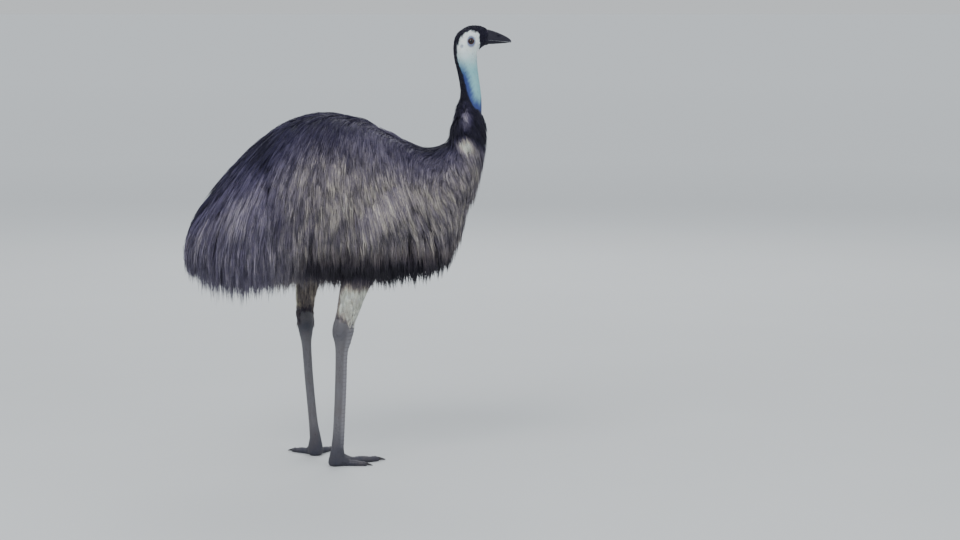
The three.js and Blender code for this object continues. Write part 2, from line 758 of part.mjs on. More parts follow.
const neckGrown = shaggy("neck", GAP);
const torsoGrown = shaggy("torso", GAP);
const wingsGrown = join([wing(-1, GAP), wing(1, GAP)]);
show("torso", shaggy("torso").subtract(neckGrown).subtract(wingsGrown), SKIN.plume);
show("tail", shaggy("tail").subtract(torsoGrown), SKIN.plume);
show("neck_lower", shaggy("neck"), SKIN.dark);
show("neck_upper", upperNeck(), SKIN.blue);
show("head", head(), SKIN.blue);
show("bill_upper", upperBill(), SKIN.bill);
show("bill_lower", lowerBill(), SKIN.bill);
show("eye_right", eyeball(-1), SKIN.eye);
show("eye_left", eyeball(1), SKIN.eye);
const grownTorso = join([torsoGrown, shaggy("tail", GAP)]);
show("wing_right", wing(-1), SKIN.plume);
show("wing_left", wing(1), SKIN.plume);
for (const [side, leg] of Object.entries(LEGS)) {
  show(`thigh_${side}`, thigh(leg).subtract(grownTorso), SKIN.plume);
  show(`shank_${side}`, shank(leg), SKIN.scale);
  show(`foot_${side}`, foot(leg), SKIN.scale);
  for (const name of Object.keys(TOES)) {
    show(`toe_${side}_${name}`, toe(leg, name), SKIN.scale);
    show(`claw_${side}_${name}`, claw(leg, name), SKIN.claw);
  }
}

// The origin is on the floor, below the middle of the whole bird
const box = new THREE.Box3().setFromObject(bird);
const centre = box.getCenter(vec(0, 0, 0));
bird.position.set(-centre.x, -centre.y, -box.min.z);
const emu = new THREE.Group().add(bird);

export default emu;
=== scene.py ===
import math

import bmesh
import bpy
import numpy as np
from bpy.props import FloatProperty, FloatVectorProperty, IntProperty, PointerProperty
from mathutils import Euler, Matrix, Vector


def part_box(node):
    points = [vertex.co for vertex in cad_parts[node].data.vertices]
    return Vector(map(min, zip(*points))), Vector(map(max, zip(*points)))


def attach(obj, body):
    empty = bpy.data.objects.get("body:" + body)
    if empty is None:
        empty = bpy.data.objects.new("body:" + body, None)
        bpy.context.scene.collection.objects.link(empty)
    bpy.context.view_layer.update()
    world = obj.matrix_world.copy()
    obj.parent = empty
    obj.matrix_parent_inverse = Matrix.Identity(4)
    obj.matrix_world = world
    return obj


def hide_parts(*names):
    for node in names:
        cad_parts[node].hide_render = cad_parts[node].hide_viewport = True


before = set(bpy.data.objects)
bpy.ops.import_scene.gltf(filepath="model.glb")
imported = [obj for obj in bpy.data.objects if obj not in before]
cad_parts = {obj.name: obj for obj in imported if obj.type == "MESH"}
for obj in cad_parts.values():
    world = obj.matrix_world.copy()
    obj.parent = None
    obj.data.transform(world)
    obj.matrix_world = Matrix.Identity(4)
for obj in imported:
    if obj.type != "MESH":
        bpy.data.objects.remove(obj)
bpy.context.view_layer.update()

bl_info = {
    "name": "Standing emu",
    "version": (1, 0, 0),
    "blender": (4, 5, 0),
    "location": "View3D > Sidebar > Emu",
    "description": "Dresses the frame of a life-size standing emu in skin, scutes and plumage",
    "category": "Mesh",
}

# The body is drawn in millimetres from its own mark, and set in the frame by the right eye
MM = 0.001
EYE = {"x": 408, "y": 24.5, "z": 1401, "radius": 11.5}
EYE_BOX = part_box("eye_right")
SHIFT = np.array((EYE_BOX[0] + EYE_BOX[1]) / 2) - np.array((EYE["x"], -EYE["y"], 0)) * MM
SHIFT[2] = 0
SIDES = {"right": -1, "left": 1}

# Sections from tail to bill: upper and lower outline, half width, depth of plumage and of its fringe
SECTIONS = [
    ("tail tip", (-549, 704), (-545, 670), 26, 26, 26),
    ("plume end", (-521, 805), (-498, 600), 88, 88, 150),
    ("plume", (-466, 893), (-440, 542), 132, 96, 205),
    ("rump end", (-400, 970), (-378, 526), 166, 78, 190),
    ("rump", (-322, 1047), (-304, 548), 194, 60, 142),
    ("hips", (-222, 1123), (-215, 582), 214, 52, 94),
    ("hips front", (-140, 1156), (-135, 600), 224, 48, 72),
    ("back", (-60, 1164), (-50, 600), 227, 48, 70),
    ("mid back", (42, 1147), (50, 600), 222, 50, 70),
    ("shoulders", (130, 1103), (150, 602), 207, 52, 66),
    ("neck root", (203, 1064), (245, 612), 188, 50, 54),
    ("breast", (254, 1044), (326, 652), 160, 46, 44),
    ("chest", (286, 1046), (371, 744), 130, 40, 34),
    ("high chest", (312, 1060), (398, 846), 108, 36, 32),
    ("neck base", (330, 1079), (434, 925), 88, 34, 30),
    ("low neck", (335, 1104), (457, 1012), 72, 30, 26),
    ("ruff", (346, 1142), (463, 1092), 58, 24, 22),
    ("ruff top", (361, 1184), (452, 1160), 42, 12, 10),
    ("bare neck", (373, 1218), (444, 1208), 33, 4, 2),
    ("mid neck", (371, 1260), (439, 1256), 30, 3, 2),
    ("high neck", (362, 1305), (432, 1306), 30, 3, 2),
    ("throat", (353, 1345), (429, 1350), 32, 3, 2),
    ("nape", (350, 1385), (431, 1368), 33, 3, 2),
    ("rear crown", (361, 1424), (437, 1377), 33, 3, 2),
    ("crown", (397, 1449), (446, 1384), 31, 3, 2),
    ("forehead", (436, 1451), (453, 1388), 26, 3, 2),
    ("bill base", (463, 1440), (463, 1391), 20, 2, 2),
]
PLACE = {row[0]: n for n, row in enumerate(SECTIONS)}
SHAPE = np.array([[*up, *low, half, coat, skirt] for _, up, low, half, coat, skirt in SECTIONS]) * MM
DROOP = 0.14  # how far the trunk is wider below its middle than above
BARED = 0.5  # share of the plumage's depth that lies under height 0
SKIN_BARED = 0.8  # share of the plumage's depth that lies over the skin
SKIN_HEIGHT = 1 - SKIN_BARED / BARED

# Legs: degrees that each turns to the bird's left, then rows of middle line, half depth and half width
LEGS = {
    "right": {
        "turn": 30,
        "spread": {"inner": 37, "outer": 34},
        "thigh": [
            ((92, -92, 770), 84, 62),
            ((62, -94, 680), 68, 54),
            ((24, -96, 592), 47, 43),
            ((3, -95, 518), 39, 33),
            ((-10, -93, 480), 36, 29),
            ((-15, -92, 448), 35, 27),
        ],
        "shank": [
            ((-6, -93.5, 502), 28, 23),
            ((-11, -92.5, 476), 36, 28.5),
            ((-15, -92, 446), 37, 28),
            ((-16, -91, 416), 29, 22),
            ((-20, -89, 374), 21, 16.5),
            ((-24, -87, 260), 20, 15),
            ((-31, -85, 120), 20, 15.5),
            ((-36, -84, 60), 21, 20),
        ],
    },
    "left": {
        "turn": 99,
        "spread": {"inner": 44, "outer": 48},
        "thigh": [
            ((-70, 90, 770), 84, 62),
            ((-112, 95, 680), 64, 50),
            ((-144, 98, 592), 42, 36),
            ((-153, 97, 518), 34, 29),
            ((-154, 95, 480), 33, 28),
            ((-152, 93, 448), 33, 26),
        ],
        "shank": [
            ((-154, 96, 502), 25, 22),
            ((-153.5, 94.5, 476), 33.5, 27.5),
            ((-152, 93, 446), 35, 27),
            ((-151, 93, 416), 28, 22),
            ((-149, 95, 374), 20, 16),
            ((-142, 98, 260), 19, 14.5),
            ((-130, 100, 120), 19, 15),
            ((-123, 100, 60), 21, 19),
        ],
    },
}
# Height of the hocks above the floor, in metres
HOCK = 0.448
# Ankle rings down to the sole: how far ahead, height, half depth and half width
ANKLE = [(0, 44, 24, 23), (-2, 28, 27, 26), (-4, 14, 30, 27), (-4, 4, 29, 26), (-4, -3, 26, 23)]
# How many scutes run down a shank and along each toe
SCUTES = {"shank": 34, "inner": 10, "middle": 15, "outer": 10}
# Toes: length, half width, height, and how far the claw stands out
TOES = {
    "inner": {"length": 92, "width": 11.5, "height": 19, "claw": 18},
    "middle": {"length": 152, "width": 14, "height": 23, "claw": 26},
    "outer": {"length": 98, "width": 11.5, "height": 19, "claw": 18},
}

# Bill: how far ahead of its base, the ridge, the mouth line, the underside and the half width
BILL_BASE = 463
BILL_ROWS = [
    (-14, 1441, 1405.5, 1390, 20.5),
    (0, 1439.5, 1404.5, 1391, 19.5),
    (18, 1434.5, 1403.5, 1391.5, 17.5),
    (38, 1427, 1403, 1393, 14.5),
    (56, 1418.5, 1401.5, 1394.5, 11),
    (68, 1411.5, 1400.5, 1396, 7.5),
    (75, 1405.0, 1398.2, 1396.6, 4),
    (77, 1400.6, 1397.4, 1396.2, 1.2),
]
# Openings of the head, with their middles and half sizes
NOSTRIL = {"x": 499, "y": 13.2, "z": 1418.5, "long": 8, "high": 3.1, "deep": 6}
HOLLOW = {"x": 488, "y": 17.0, "z": 1420.4, "long": 25, "high": 7.5, "deep": 5}
GAPE = {"from": 437, "z": 1401.5, "high": 1.3}
EAR = {"x": 377, "y": 31, "z": 1384, "long": 4.5, "high": 6.5}

# The edge of the bare face and neck, seen from the side
BARE_SKIN = [
    (437, 1426), (429, 1435), (411, 1438), (390, 1430), (373, 1416), (362, 1400), (357, 1371),
    (362, 1338), (369, 1316), (378, 1288), (386, 1262), (393, 1234), (400, 1206), (410, 1188),
    (430, 1176), (470, 1172), (470, 1330), (438, 1372), (437, 1400),
]
# Forms of the head drawn out or in: along, up, how far out, reach of the pull
HEAD_FORMS = [
    (400, 1421, 3.2, 16), (415, 1421, 3.4, 15), (428, 1418, 2.0, 13), (443, 1412, -2.2, 14),
    (408, 1401, -1.5, 16), (412, 1383, 2.4, 16), (393, 1386, 1.6, 18), (434, 1392, 1.4, 12),
]
# The rim of the lids: radius, thickness, how far out of the eye's middle, and its shape
LIDS = {"radius": 10.4, "thick": 2.3, "out": 4.6, "shape": (1.05, 1, 0.9)}

# Pale spots of painted sunlight on the flank and breast, and a dark spot of painted shadow between thigh
# and breast: along, up, half width, half height, how much paler
FLANK_LIGHT_SHADE_SPOTS = [
    (70, 880, 190, 110, 0.14),
    (300, 880, 100, 120, 0.1),
    (-370, 820, 110, 120, 0.12),
    # A painted shadow between the near thigh and the breast
    (170, 640, 50, 40, -0.25),
]
# Painted sunlight at the foot of the neck, in the same numbers
NECK_SUNLIT_SPOTS = [(392, 1054, 26, 21, 1.0), (420, 1030, 26, 20, 0.3)]

# Depth of the short coat down the rows of a thigh
THIGH_COAT = np.array((10, 10, 9, 7, 4, 3)) * MM
# How far the plumage leans ahead as it falls at places along the bird, on the sides and at the spine
LEAN = ((-0.5, -0.3, -0.12, 0.05, 0.18, 0.32), (-0.42, -0.3, -0.04, 0.16, 0.36, 0.4))
CREST = ((-0.5, -0.3, -0.12, 0.02, 0.16, 0.24, 0.32), (-1.3, -1.1, -0.6, -0.25, -0.15, -0.5, -1.1))
# Outward directions, by their rise, from the side of the body to its top
TOP = (0.2, 0.95)
# Where plumes leave the body under it and behind it, how fast they drop there, and their lift on top
FALL = {"under": -0.25, "behind": 0.5, "drop": 0.22, "end_drop": 0.62, "ridge": 0.42}
# The stretch of the body on which the path of a plume stays
PATH_PLACES = (-0.5, 26.4)
# Stretches of the body, in places from the tail, that the skin's two parts and each coat cover
SKIN_PLACES = {"trunk": (0.75, 17.6), "head": (17.3, 26)}
TRUNK_COATS = {"rump": (3.6, 5.3), "hip": (5.3, 7.3), "flank": (7.3, 9.3), "breast": (9.3, 14.2)}
TAIL_COAT = (0.75, 3.6)
NECK_COAT = {"places": (14.0, 18.0), "apart": 0.58, "spread": 0.014, "width": 0.0021, "strands": 7}
# The thigh's coat: rows it covers, spacing, and its last row behind and in front
THIGH_PLUMES = {
    "rows": (0.6, 4.95),
    "apart": 0.0083,
    "last": {"right": (4.75, 3.7), "left": (4.95, 4.8)},
    "length": (0.08, 0.026),
    "width": (0.0024, 0.0016),
    "spread": (0.014, 0.008),
}
# The stub wing's plumes: how many, where they grow along the body and round it, and their lengths
WING = {"plumes": 110, "places": (8.1, 9.45), "turns": (1.66, 1.1), "length": (0.13, 0.17)}
# Bristles: where they grow, spacing, clear ring round the eye, length, and sizes on bare skin and off it
BRISTLES = {
    "places": (17.2, 25.9),
    "apart": 0.0027,
    "clear": 0.017,
    "length": {"bare": 0.009, "nape": 0.026, "crown": 0.012},
    "width": (0.0003, 0.0011),
    "spread": (0.0005, 0.003),
}
# Lashes round an eye: how many, their length, how far they sag and their width
LASHES = {"count": 46, "length": 0.0085, "sag": 0.0022, "width": 0.0006}
# Step along the body and round it by which the slope of its surface is taken
STEP = 0.02
# Strands: share that strays, its reach, rise and arch of the middle ones, width from root to tip
STRAY = {"share": 0.15, "reach": 1.8, "rise": 0.9, "arch": 0.26}
TAPER = ((0, 0.25, 0.5, 0.75, 1), (0.75, 1.0, 0.92, 0.62, 0.2))
# Size of a plume's patch on the bake map, and the scatter of the patches
PATCH = {"size": 0.003, "scatter": 0.012}

# Area lights of the studio: place, size and power
LIGHTS = {
    "key": ((-2.6, -5.6, 6.0), 4.2, 390),
    "fill": ((5.4, -4.4, 3.4), 4.0, 110),
    "rim": ((0.6, 6.0, 5.4), 4.4, 190),
}
# The point that the lights face, then the tones of the floor and of the light from above
AIM = Vector((0.0, 0.0, 0.8))
FLOOR = {"near": (0.54, 0.56, 0.57), "cloud": (0.58, 0.6, 0.61), "far": (0.8, 0.82, 0.83), "size": 4000}
SKY = {"low": (0.69, 0.72, 0.745), "high": (0.86, 0.9, 0.94), "strength": 0.95}


def tone(red, green, blue):
    """A screen colour from 0 to 255 as the light that it reflects"""
    parts = (red / 255, green / 255, blue / 255)
    return tuple(c / 12.92 if c <= 0.04045 else ((c + 0.055) / 1.055) ** 2.4 for c in parts)


class EmuPlumage(bpy.types.PropertyGroup):
    apart: FloatProperty(
        name="Root spacing",
        description="Distance between the roots of neighbouring body plumes",
        default=0.0148,
        unit="LENGTH",
    )
    strands: IntProperty(name="Strands", description="Strands in one plume", default=11)
    strand_width: FloatProperty(
        name="Strand width",
        description="Width of a strand at its widest",
        default=0.0026,
        unit="LENGTH",
    )
    spread: FloatProperty(
        name="Plume width", description="Width of a plume", default=0.02, unit="LENGTH"
    )
    body_length: FloatProperty(
        name="Body plumes", description="Length on the trunk", default=0.15, unit="LENGTH"
    )
    tail_length: FloatProperty(
        name="Tail plumes", description="Length on the tail", default=0.3, unit="LENGTH"
    )
    neck_length: FloatProperty(
        name="Neck plumes", description="Length at the neck's foot", default=0.11, unit="LENGTH"
    )
    seed: IntProperty(name="Seed", description="Draw of the small variations", default=7)


class EmuColours(bpy.types.PropertyGroup):
    black: FloatVectorProperty(
        name="Black", description="Crown and neck", subtype="COLOR", default=tone(30, 28, 45)
    )
    back: FloatVectorProperty(
        name="Back", description="Dark plumage", subtype="COLOR", default=tone(62, 57, 75)
    )
    flank: FloatVectorProperty(
        name="Flank", description="Middle plumage", subtype="COLOR", default=tone(132, 125, 130)
    )
    streak: FloatVectorProperty(
        name="Streak", description="Pale plumage", subtype="COLOR", default=tone(200, 192, 178)
    )
    # Near white, the top of the plumage tones: the painted sunlight on the thighs and at the neck's foot
    # is drawn in it
    down: FloatVectorProperty(
        name="Down", description="Whitish thighs", subtype="COLOR", default=tone(238, 242, 232)
    )
    face: FloatVectorProperty(
        name="Face", description="Bare face", subtype="COLOR", default=tone(230, 237, 236)
    )
    throat: FloatVectorProperty(
        name="Throat", description="Bare front neck", subtype="COLOR", default=tone(106, 180, 188)
    )
    blue: FloatVectorProperty(
        name="Blue", description="Edge of the bare neck", subtype="COLOR", default=tone(40, 62, 128)
    )
    lid: FloatVectorProperty(
        name="Lids", description="Skin round the eye", subtype="COLOR", default=tone(72, 82, 128)
    )
    bill: FloatVectorProperty(
        name="Bill", description="Horn of the bill", subtype="COLOR", default=tone(27, 26, 42)
    )
    iris: FloatVectorProperty(
        name="Iris", description="Eye", subtype="COLOR", default=tone(58, 30, 20)
    )
    scute: FloatVectorProperty(
        name="Scutes", description="Leg scales", subtype="COLOR", default=tone(112, 111, 116)
    )
    # Feet: their own dark horn, darkened further as painted shade beneath the foot
    foot: FloatVectorProperty(
        name="Feet", description="Toe scales", subtype="COLOR", default=tone(54, 55, 70)
    )
    claw: FloatVectorProperty(
        name="Claws", description="Horn of the claws", subtype="COLOR", default=tone(44, 41, 46)
    )


class EmuStudio(bpy.types.PropertyGroup):
    away: FloatProperty(
        name="Camera distance", description="To the bird's middle", default=7.4, unit="LENGTH"
    )
    height: FloatProperty(name="Camera height", description="Above floor", default=1.5, unit="LENGTH")
    across: FloatProperty(
        name="Camera across", description="Ahead of the bird's mark", default=0.437, unit="LENGTH"
    )
    pitch: FloatProperty(
        name="Camera pitch",
        description="How far the camera looks down",
        default=math.radians(6.6),
        unit="ROTATION",
    )
    lens: FloatProperty(name="Lens", description="Focal length in millimetres", default=84.0)


# Shape of the trunk, neck and head


def normal(vectors):
    """The directions of vectors"""
    return vectors / np.maximum(np.linalg.norm(vectors, axis=-1, keepdims=True), 1e-12)


def smooth(value, low, high):
    """A soft step from 0 at the low value to 1 at the high one"""
    share = np.clip((value - low) / (high - low), 0, 1)
    return share * share * (3 - 2 * share)


def mix(a, b, share):
    """The first number at share 0 and the second at share 1"""
    return a + (b - a) * share


def spline(rows, place):
    """Points of a smooth curve through rows of numbers, at places counted from the first row"""
    rows = np.asarray(rows, float)
    place = np.asarray(place, float)
    ends = np.vstack([2 * rows[0] - rows[1], rows, 2 * rows[-1] - rows[-2]])
    n = np.clip(np.floor(place).astype(int), 0, len(rows) - 2)
    share = (place - n)[..., None]
    a, b, c, d = (ends[n + k] for k in range(4))
    leave, reach = (c - a) / 2, (d - b) / 2
    bend = 3 * (c - b) - 2 * leave - reach
    return b + share * (leave + share * (bend + share * (2 * (b - c) + leave + reach)))


def body_section(place, height):
    """Middle, half depth, half width, upward direction and droop of the body's section"""
    upper_x, upper_z, lower_x, lower_z, half, coat, skirt = spline(SHAPE, place).T
    bared = BARED * (1 - height)
    upper = np.stack([upper_x, 0 * upper_x, upper_z], -1)
    lower = np.stack([lower_x, 0 * lower_x, lower_z], -1)
    up = normal(upper - lower)
    top = upper - up * (coat * bared)[..., None]
    foot = lower + up * (skirt * np.minimum(1, bared * 2))[..., None]
    depth = np.linalg.norm(top - foot, axis=-1) / 2
    droop = DROOP * (1 - smooth(place, PLACE["breast"], PLACE["low neck"]))
    return (top + foot) / 2, depth, half - coat * bared, up, droop


def body_point(place, turn, height):
    """A point over the body: turn counts from the spine down the left side, height 1 is the outline"""
    place, turn, height = np.broadcast_arrays(
        np.asarray(place, float), np.asarray(turn, float), np.asarray(height, float)
    )
    centre, depth, width, up, droop = body_section(place, height)
    rise = np.cos(turn)
    point = centre + up * (depth * rise)[..., None]
    point[..., 1] += width * np.sin(turn) * (1 - droop * rise)
    return point


def leg_rows(side, part):
    """The rows of a thigh or shank in metres: middle, half depth and half width"""
    return np.array([[*at, depth, width] for at, depth, width in LEGS[side][part]]) * MM


def leg_ways(side, part="shank"):
    """The ways ahead and to the left of a thigh, which turns half as far as its foot, or of a shank"""
    turn = math.radians(LEGS[side]["turn"] * (0.5 if part == "thigh" else 1))
    return np.array((math.cos(turn), math.sin(turn), 0)), np.array((-math.sin(turn), math.cos(turn), 0))


def line_at(line, height):
    """Where a leg's middle line is at a height, seen from above"""
    return np.stack([np.interp(-height, -line[:, 2], line[:, n]) for n in (0, 1)], -1)


def thigh_surface(side):
    """The surface over a thigh: place counts down its rows, turn goes round it from the front"""
    rows = leg_rows(side, "thigh")
    fore, aside = leg_ways(side, "thigh")

    def point(place, turn, height):
        """Points at rows down the thigh and turns round it"""
        row = spline(rows, np.asarray(place, float) + 0 * turn)
        grow = np.interp(place, np.arange(len(THIGH_COAT)), THIGH_COAT) * (height - 1)
        depth = (row[..., 3] + grow) * np.cos(turn)
        width = (row[..., 4] + grow) * np.sin(turn)
        return row[..., :3] + depth[..., None] * fore + width[..., None] * aside

    return point


def lie(point, out):
    """The way the plumage lies: parted along the spine, down the sides, back over rump and neck"""
    x, y = point[..., 0], point[..., 1]
    top = smooth(out[..., 2], *TOP)
    lean = np.interp(x, *LEAN)
    crest = np.interp(x, *CREST)
    away = smooth(np.abs(y), 0.0, 0.11)
    part = mix(0.22, 1.0, smooth(x, -0.48, -0.12)) * away
    pull = np.stack([mix(lean, mix(-1.0, crest, away), top), np.sign(y) * part * top, 0 * x - 1], -1)
    return normal(pull - out * np.sum(pull * out, -1, keepdims=True))


def hang(point, out):
    """The way short feathers lie on a leg: straight down it"""
    down = np.zeros_like(point)
    down[..., 2] = -1
    return normal(down - out * np.sum(down * out, -1, keepdims=True))


def edge_distance(x, z, corners):
    """Distance to the edge of an area seen from the side, negative inside it"""
    ends = np.array(corners, float) * MM
    nearest = np.full(x.shape, 1e9)
    inside = np.zeros(x.shape, bool)
    for (ax, az), (bx, bz) in zip(ends, np.roll(ends, -1, axis=0)):
        span = (bx - ax) ** 2 + (bz - az) ** 2
        share = np.clip(((x - ax) * (bx - ax) + (z - az) * (bz - az)) / span, 0, 1)
        away = np.hypot(x - ax - share * (bx - ax), z - az - share * (bz - az))
        nearest = np.minimum(nearest, away)
        crosses = (az > z) != (bz > z)
        inside ^= crosses & (x < ax + (z - az) * (bx - ax) / (bz - az + 1e-12))
    return np.where(inside, -nearest, nearest)


def spot(x, z, at, wide, high):
    """A soft spot seen from the side, 1 at its middle"""
    return np.exp(-(((x - at[0] * MM) / (wide * MM)) ** 2 + ((z - at[1] * MM) / (high * MM)) ** 2))


def ripple(x, z, size):
    """A soft uneven pattern from -1 to 1, for ragged edges"""
    a, b = x / size, z / size
    waves = np.sin(2.1 * a + 1.3 * b) + np.sin(2.9 * b - 1.7 * a + 1.1)
    return (waves + np.sin(4.3 * a - 3.7 * b + 2.3)) / 3


def spots(x, z, places):
    """The sum of soft spots, each by its own strength"""
    return sum(by * spot(x, z, (along, up), wide, high) for along, up, wide, high, by in places)


def thigh_sunlit_patch(points):
    """How much painted sunlight, as a near white patch, falls on a point of a thigh's outer and front
    faces
    """
    white = np.zeros(points.shape[:-1])
    uneven = 0.008 * ripple(points[..., 0], points[..., 1] + points[..., 2], 0.02)
    for side, sign in SIDES.items():
        rows = leg_rows(side, "thigh")[:, :3]
        line = spline(rows, np.linspace(0, len(rows) - 1, 60))
        out = points[..., :2] - line_at(line, points[..., 2])
        away = np.linalg.norm(out, axis=-1)
        fore, left = leg_ways(side, "thigh")
        ahead = out @ fore[:2]
        outward = out @ left[:2] * sign
        near = smooth(-away, -0.13, -0.09)
        facing = smooth((ahead * 0.4 + outward) / np.maximum(away, 1e-6), -0.42, 0.12)
        edge = mix(0.505, 0.452, smooth(ahead, -0.03, 0.03))
        above = smooth(points[..., 2] + uneven, edge - 0.008, edge + 0.012)
        white = np.maximum(white, near * facing * above)
    return white * smooth(-points[..., 2] - uneven, -0.605, -0.575)


def trunk_tones(x, z):
    """The trunk: a dark back, flanks paler with painted sunlight, painted shade underneath and over the
    hip, and bluer above and behind
    """
    trunk = SHAPE[: PLACE["neck base"]]
    upper = np.interp(x, trunk[:, 0], trunk[:, 1])
    lower = np.interp(x, trunk[:, 2], trunk[:, 3])
    level = np.clip((z - lower) / (upper - lower), 0, 1)
    ahead = smooth(x, -0.2, -0.1)
    back = mix(0.34, 0.17, smooth(x, -0.06, 0.12)) * smooth(level, 0.64, 0.96)
    # Painted shadow: a dark streak over the hip, where the tail's plumes meet the flank
    hip_shadow_line = 0.2 * spot(x + 0.2 * (z - 0.93), z, (-252, 930), 24, 160)
    # Painted shade on the underside: darker low down, ahead of the tail
    belly_shade = 0.46 * smooth(-z, -0.74, -0.63) * ahead
    pale = 0.485 + spots(x, z, FLANK_LIGHT_SHADE_SPOTS) - back - hip_shadow_line - belly_shade
    cool = 0.15 + 0.6 * smooth(-x, 0.08, 0.3) + 0.6 * smooth(level, 0.6, 0.95)
    # The painted shade on the underside is made warmer too
    return pale, cool - 0.8 * smooth(-z, -0.76, -0.66) * ahead


def neck_tones(x, y, z, pale, cool):
    """The neck: black from its foot up, with a grey gap at the side and painted sunlight below it"""
    neck = smooth(z + 0.25 * (x - 0.4), 1.02, 1.075) * smooth(x, 0.24, 0.3)
    collar = np.minimum(1, 1.3 * spot(x, z, (285, 1058), 74, 30))
    gap = 0.68 * spot(x, z, (392, 1140), 15, 36) * smooth(y, 0.02, 0.035)
    band = 0.3 * spot(x, z, (396, 1090), 44, 13)
    # Painted sunlight at the neck's foot: paler there, and neither cold nor warm
    ruff = spots(x, z, NECK_SUNLIT_SPOTS)
    pale = mix(pale, 0.03, np.maximum(neck, collar)) + gap - band + ruff
    return pale, mix(cool, 0.0, np.minimum(1, 1.5 * ruff))


def leg_tones(points, pale, cool):
    """The thighs: grey, with the left, far thigh darker and browner as painted shade, and painted
    sunlight on their outer faces
    """
    x, z = points[..., 0], points[..., 2]
    leg = smooth(-z, -0.64, -0.58) * smooth(-np.abs(x + 0.06), -0.2, -0.16)
    left = (points[..., 1] > 0) * 1.0
    # Painted shade from the body on the left, far thigh: darker, and darkest low down
    thigh_tone_far_shade = mix(mix(0.6, 0.5, left), 0.26, left * smooth(-z, -0.515, -0.5))
    pale = mix(pale, thigh_tone_far_shade + 0.1 * left * smooth(x, -0.15, -0.12), leg * 0.9)
    # Painted sunlight on the thighs' outer faces, near white; the left, far thigh is also made browner
    # as painted shade
    return mix(pale, 1.0, thigh_sunlit_patch(points) * 0.96), mix(cool, -0.5 * left, leg)


def bare_marks(x, y, z):
    """The bare face and neck: where the skin is bare, where it is deep blue and where dark"""
    away = edge_distance(x, z, BARE_SKIN) + 0.0035 * ripple(x, z + y, 0.009)
    away -= 0.014 * smooth(-y, -0.028, -0.002) * smooth(-z, -1.21, -1.18)
    blue_edge = smooth(-away, 0.034, 0.008) * smooth(-z, -1.36, -1.28)
    blue_foot = smooth(-z + 0.01 * ripple(x, y, 0.02), -1.23, -1.185)
    from_eye = np.hypot(x - EYE["x"] * MM, (z - EYE["z"] * MM + 0.001) / 1.4)
    from_ear = np.hypot(x - EAR["x"] * MM, (z - EAR["z"] * MM) / 1.3)
    # The lids take their own colour; in the ear it is its own bluish skin, and painted shade in the
    # hollow
    dark = np.maximum(smooth(-from_eye, -0.0165, -0.0105), 0.6 * smooth(-from_ear, -0.007, -0.003))
    return {
        "bare": smooth(-away, -0.0015, 0.003),
        "blue": np.clip(np.maximum(blue_edge, blue_foot), 0, 1),
        "dark": dark * smooth(z, 1.3, 1.33),
    }


def markings(points):
    """What skin and plumage share at points of the bird: how pale, how cold or warm, and how bare"""
    x, y, z = points[..., 0], np.abs(points[..., 1]), points[..., 2]
    pale, cool = trunk_tones(x, z)
    pale, cool = neck_tones(x, y, z, pale, cool)
    pale, cool = leg_tones(points, pale, cool)
    return {"pale": np.clip(pale, 0, 1), "cool": np.clip(cool, -1, 1), **bare_marks(x, y, z)}


# Modelling helpers


def clear_selection():
    """Leaves edit mode and selects nothing"""
    if bpy.context.object and bpy.context.object.mode != "OBJECT":
        bpy.ops.object.mode_set(mode="OBJECT")
    bpy.ops.object.select_all(action="DESELECT")


def pick(piece):
    """Makes a piece the only one selected"""
    clear_selection()
    piece.select_set(True)
    bpy.context.view_layer.objects.active = piece


def named(name):
    """Names the new primitive and its mesh"""
    piece = bpy.context.object
    piece.name = name
    piece.data.name = name
    return piece


def settle(piece):
    """Puts a piece's place and size into its mesh"""
    pick(piece)
    bpy.ops.object.transform_apply(location=True, rotation=True, scale=True)
    return piece


def apply(piece, kind, **settings):
    """Adds a modifier with its settings and applies it"""
    pick(piece)
    modifier = piece.modifiers.new(kind.title(), kind)
    for key, value in settings.items():
        setattr(modifier, key, value)
    bpy.ops.object.modifier_apply(modifier=modifier.name)
    return piece


def combine(piece, other, operation="UNION"):
    """Joins another closed piece to this one, or cuts it out, and removes it"""
    apply(piece, "BOOLEAN", operation=operation, object=other, solver="EXACT")
    bpy.data.objects.remove(other)
    return piece


def shade(piece, angle=60):
    """Shades a piece smooth, but for edges sharper than an angle in degrees"""
    pick(piece)
    bpy.ops.object.shade_smooth_by_angle(angle=math.radians(angle))
    return piece


def dressed(piece, finish):
    """Gives a piece its finish and its place in the table of pieces"""
    piece.data.materials.clear()
    piece.data.materials.append(finish)
    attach(piece, "root")
    return piece


def stretch(sizes, middle, axes=((1, 0, 0), (0, 1, 0), (0, 0, 1))):
    """Scales what is selected in edit mode about a point, along the given axes"""
    bpy.ops.transform.resize(
        value=tuple(float(size) for size in sizes),
        orient_type="GLOBAL",
        orient_matrix=[[float(c) for c in axis] for axis in axes],
        orient_matrix_type="GLOBAL",
        center_override=tuple(middle),
    )


def select_edges(piece, edges):
    """Selects only these edges of a piece in edit mode"""
    mesh = bmesh.from_edit_mesh(piece.data)
    mesh.edges.ensure_lookup_table()
    bpy.ops.mesh.select_all(action="DESELECT")
    for edge in edges:
        mesh.edges[edge].select_set(True)
    bmesh.update_edit_mesh(piece.data)


